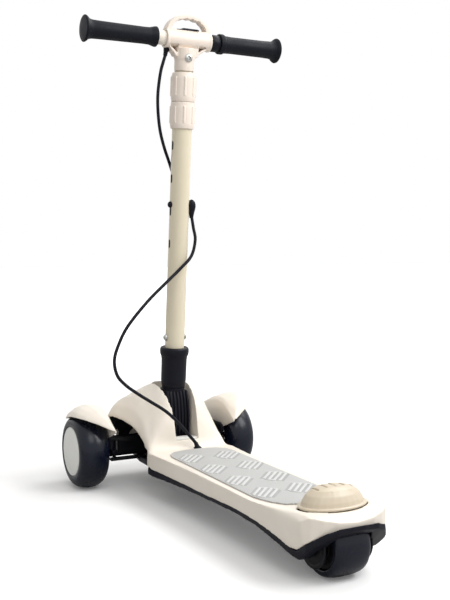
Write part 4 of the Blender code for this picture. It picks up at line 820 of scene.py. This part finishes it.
# Cable clip: a drop-shaped boss on the right, pinned through the tube to a button on the left
boss_foot, boss_top = on_stem(20.2, -3.3, 366.0), on_stem(16.6, -9.0, 396.0)
boss = [(0, 30.0), (2.6, 29.5), (5.2, 27.3), (6.6, 23.8), (6.9, 20.0), (6.1, 15.0), (4.7, 9.5), (3.6, 4.0),
        (3.2, 0.3), (0, 0)]
button = [(0, 19.9), (2.2, 19.6), (4.1, 18.4), (5.2, 16.4), (5.2, 14.4), (0, 14.4)]
clip = joined(spun("cable_clip_boss", boss, boss_foot, (boss_top - boss_foot).normalized(), STEM_FORE,
                   ease=0.8, steps=40),
              spun("button", button, on_stem(0, 0, 386), -ACROSS, STEM_UP, steps=40, ease=0.5),
              rod("pin", on_stem(-15, 0, 386), on_stem(16, -6, 386), 2.6))
done(clip, "stem", "black_rubber", "cable_clip")

# head, bar and grips
head = copied("t_head", "t_head_moulding")
rings = []
for x in (-33.5, 39.5):
    rings.append(spun("end_ring", [(14.7, x - 1.5), (14.7, x + 1.5), (11.6, x + 1.5), (11.6, x - 1.5)],
                      on_stem(0, 0, BAR_HEIGHT), ACROSS, STEM_UP, steps=64, closed=True))
NECK_R, BARREL_R = 15.4, 14.25


def on_head(u, v, y):
    """A point of the head seen from behind: u to the right, v up the stem, y forward."""
    return on_stem(u, y, v)


# Above the flare the neck ends in the cross barrel, and the web curves in under it
for sign in (-1, 1):
    near, far = sorted((sign * 30, sign * 4))
    low, high = BAR_HEIGHT - 13, BAR_HEIGHT + 17
    trim = [(-17.6, low), (17.6, low), (17.6, high), (-17.6, high)]
    trim = extruded("neck_trim", trim, near, far, on_head)
    barrel = rod("barrel_keep", on_stem(-40, 0, BAR_HEIGHT), on_stem(40, 0, BAR_HEIGHT), BARREL_R, steps=64)
    cut(head, cut(trim, barrel))
    side = [(16.4, 596), (16.4, 607), (17.6, 612.5), (20.5, 617), (25, 620.8), (30, 623), (43, 624.6),
            (43, 596)]
    cut(head, extruded("web_trim", [(sign * x, z) for x, z in side], -20, 20, on_head))
neck = [(NECK_R, 580), (NECK_R, 607), (NECK_R + 1.2, 613), (40, 613), (40, 580)]
cut(head, on_stem_spun("neck_trim", neck, steps=64, closed=True))
# The three-cornered pockets in the web, and the hollows for the fingers in the loop
LEFT_POCKET = [(-30.5, 630.3), (-15.2, 630.3), (-15.2, 617.5)]
RIGHT_POCKET = [(20.5, 630.3), (33.0, 630.3), (20.5, 621.0)]
for corners in (LEFT_POCKET, RIGHT_POCKET):
    cut(head, extruded("web_pocket", corners, -20, 6.3, on_head))
# The loop's inner arch over the bar: its middle, half width, foot and rise
LOOP_X, LOOP_HALF, LOOP_FOOT, LOOP_RISE = 3, 29, 14.2, 16.5
SCALLOP_R, SCALLOP_SINK = 5.6, 4.6
for place in (-15, -5, 5, 15):
    height = BAR_HEIGHT + LOOP_FOOT + LOOP_RISE * sqrt(1 - (place / LOOP_HALF) ** 2) - SCALLOP_SINK
    ends = [on_stem(LOOP_X + place, depth, height) for depth in (-14, 14)]
    cut(head, rod("scallop", *ends, SCALLOP_R))
head = joined(head, *rings)
head = moulded(head, 0.65, light=3, heavy=10, reach=5.0)
done(head, "column", "cream_abs", "t_head", finish_with=rosy_abs)
strip = [(-13.4, 653.0), (24.4, 653.0), (24.4, 656.3), (22.0, 657.2), (-3.0, 657.2), (-6.0, 655.2),
         (-13.4, 655.0)]
panel = extruded("head_panel_strip", strip, 0.6, 9.4, on_head)
modified(panel, "BEVEL", width=0.5 * MM, segments=2, limit_method="ANGLE")
done(smooth(panel), "column", "black_plastic", "head_panel")

bar = spun("cross_bar_tube", [(0, 161.0), (11.0, 161.0), (11.0, -161.0), (0, -161.0)],
           on_stem(0, 0, BAR_HEIGHT), ACROSS, STEM_UP, steps=64)
done(bar, "column", "cream_abs", "cross_bar")

GRIP_BORE, GRIP_END = 11.3, 165.0


def grip(name, inner_end, direction, body, node_name):
    """Rubber grip: a flange at the outer end, a long smooth waist, and its inner end."""
    flange = [(0, 0), (10.0, 0), (13.0, 0.3), (17.8, 0.7), (19.4, 1.8), (19.5, 3.0), (18.2, 5.2), (15.4, 8.0),
              (14.1, 11.5), (13.6, 15.0), (13.2, 30.0)]
    profile = [(r, GRIP_END - inward) for r, inward in flange]
    profile += inner_end + [(GRIP_BORE, GRIP_END - 3.7), (0, GRIP_END - 3.7)]
    piece = spun(name, profile, on_stem(0, 0, BAR_HEIGHT), ACROSS * direction, STEM_UP, steps=80, ease=0.25)
    return done(piece, body, "black_rubber", node_name)


LEFT_INNER_END = [(12.6, 69.0), (12.9, 60.0), (14.6, 53.5), (15.2, 51.0), (15.2, 49.2), (GRIP_BORE, 49.2)]
RIGHT_INNER_END = [(12.9, 79.0), (13.5, 66.5), (15.2, 64.6), (15.5, 63.4), (15.5, 58.0), (15.0, 57.2),
                   (GRIP_BORE, 57.2)]
grip("grip_left_rubber", LEFT_INNER_END, -1, "column", "grip_left")
grip("throttle_grip_rubber", RIGHT_INNER_END, 1, "throttle", "throttle_grip")

# CAD nodes that stay get their finish
STAYING = {
    "cable_grommet": black_rubber, "channel_floor": grey_abs, "battery_pack": black_nylon,
    "controller_box": black_nylon, "front_beam": painted_metal, "lean_pivot_pin": zinc_steel,
    "lean_spring": zinc_steel, "kingpin_left": zinc_steel, "kingpin_right": zinc_steel,
    "rear_axle": painted_metal, "brake_hinge_pin": zinc_steel,
    "brake_spring": zinc_steel, "wheel_core_left": black_nylon, "wheel_core_right": black_nylon,
    "wheel_bearing_left": zinc_steel, "wheel_bearing_right": zinc_steel, "knuckle_left": black_nylon,
    "knuckle_right": black_nylon, "front_axle_left": zinc_steel, "front_axle_right": zinc_steel,
    "tie_rod": painted_metal, "clamp_sleeve": black_nylon, "upper_tube": powder_coat,
    "height_button": zinc_steel, "throttle_housing": black_nylon, "cable_gland": black_rubber,
    "brake_pad": black_rubber,
}
for name, material in STAYING.items():
    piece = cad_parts[name]
    piece.data.materials.clear()
    piece.data.materials.append(material)
    weld = piece.modifiers.new("weld", "WELD")
    weld.merge_threshold = 0.00001
    bevel = piece.modifiers.new("soft_edges", "BEVEL")
    bevel.width = 0.3 * MM
    bevel.segments = 2
    bevel.limit_method = "ANGLE"
    bevel.angle_limit = radians(35)
    bevel.harden_normals = True
    only(piece)
    bpy.ops.object.shade_smooth()

# floor, light and background
bpy.ops.mesh.primitive_plane_add(size=30.0, location=(0, 0, 0))
floor = bpy.context.object
floor.name = "floor"
sweep = bpy.data.materials.new("white_sweep")
sweep.use_nodes = True
tree = sweep.node_tree
tree.nodes.clear()
path = node(tree, "ShaderNodeLightPath")
place = node(tree, "ShaderNodeTexCoord").outputs["Object"]
grain = node(tree, "ShaderNodeTexNoise", {"Vector": place, "Scale": 400.0})
bump = node(tree, "ShaderNodeBump", {"Height": grain.outputs["Fac"], "Distance": 0.02 * MM})
# The camera sees the paper whiter than the light that it throws back up on the scooter
white = node(tree, "ShaderNodeMix", {0: path.outputs["Is Camera Ray"], 6: linear("#C2C2C2"),
                                     7: linear("#F4F4F4")}, data_type="RGBA")
paper = node(tree, "ShaderNodeBsdfDiffuse", {"Color": white.outputs[2], "Roughness": 0.2,
                                             "Normal": bump.outputs["Normal"]})
far = node(tree, "ShaderNodeVectorMath", {0: place}, operation="LENGTH")
# The paper is lit up a little towards the camera, and fully where it meets the background
lift = node(tree, "ShaderNodeMapRange", {"Value": far.outputs["Value"], "From Min": 0.7, "From Max": 2.6,
                                         "To Min": 0.075, "To Max": 0.9}, interpolation_type="SMOOTHSTEP")
seen = node(tree, "ShaderNodeMath", {0: path.outputs["Is Camera Ray"], 1: lift.outputs["Result"]},
            operation="MULTIPLY")
glow = node(tree, "ShaderNodeEmission", {"Color": (1, 1, 1, 1), "Strength": seen.outputs[0]})
both = node(tree, "ShaderNodeAddShader", {0: paper.outputs[0], 1: glow.outputs[0]})
node(tree, "ShaderNodeOutputMaterial", {"Surface": both.outputs[0]})
floor.data.materials.append(sweep)

world = bpy.data.worlds.new("studio")
bpy.context.scene.world = world
world.use_nodes = True
tree = world.node_tree
tree.nodes.clear()
path = node(tree, "ShaderNodeLightPath")
seen = node(tree, "ShaderNodeMath", {0: path.outputs["Is Camera Ray"], 1: path.outputs["Is Glossy Ray"]},
            operation="MAXIMUM")
seen = node(tree, "ShaderNodeMath", {0: seen.outputs[0], 1: path.outputs["Is Transmission Ray"]},
            operation="MAXIMUM")
soft = node(tree, "ShaderNodeBackground", {"Color": linear("#FFFEFC"), "Strength": 0.62})
white = node(tree, "ShaderNodeBackground", {"Color": (1, 1, 1, 1), "Strength": 1.0})
mixed = node(tree, "ShaderNodeMixShader", {0: seen.outputs[0], 1: soft.outputs[0], 2: white.outputs[0]})
node(tree, "ShaderNodeOutputWorld", {"Surface": mixed.outputs[0]})


def lamp(name, place, aim, size, watts, colour="#FFFFFF"):
    """A square soft box that looks at a point."""
    way = Vector(aim) - Vector(place)
    bpy.ops.object.light_add(type="AREA", location=place, rotation=way.to_track_quat("-Z", "Y").to_euler())
    light = bpy.context.object
    light.name = name
    light.data.shape = "SQUARE"
    light.data.size = size
    light.data.energy = watts
    light.data.color = linear(colour)[:3]


lamp("soft_box_right", (0.95, -1.0, 1.5), (0, 0, 0.3), 1.0, 21.0)
lamp("soft_box_above_right", (1.25, 0.3, 1.9), (0, 0, 0.2), 1.2, 18.5)
lamp("soft_box_front", (-0.35, -1.5, 1.9), (0, 0, 0.3), 1.0, 9.0)
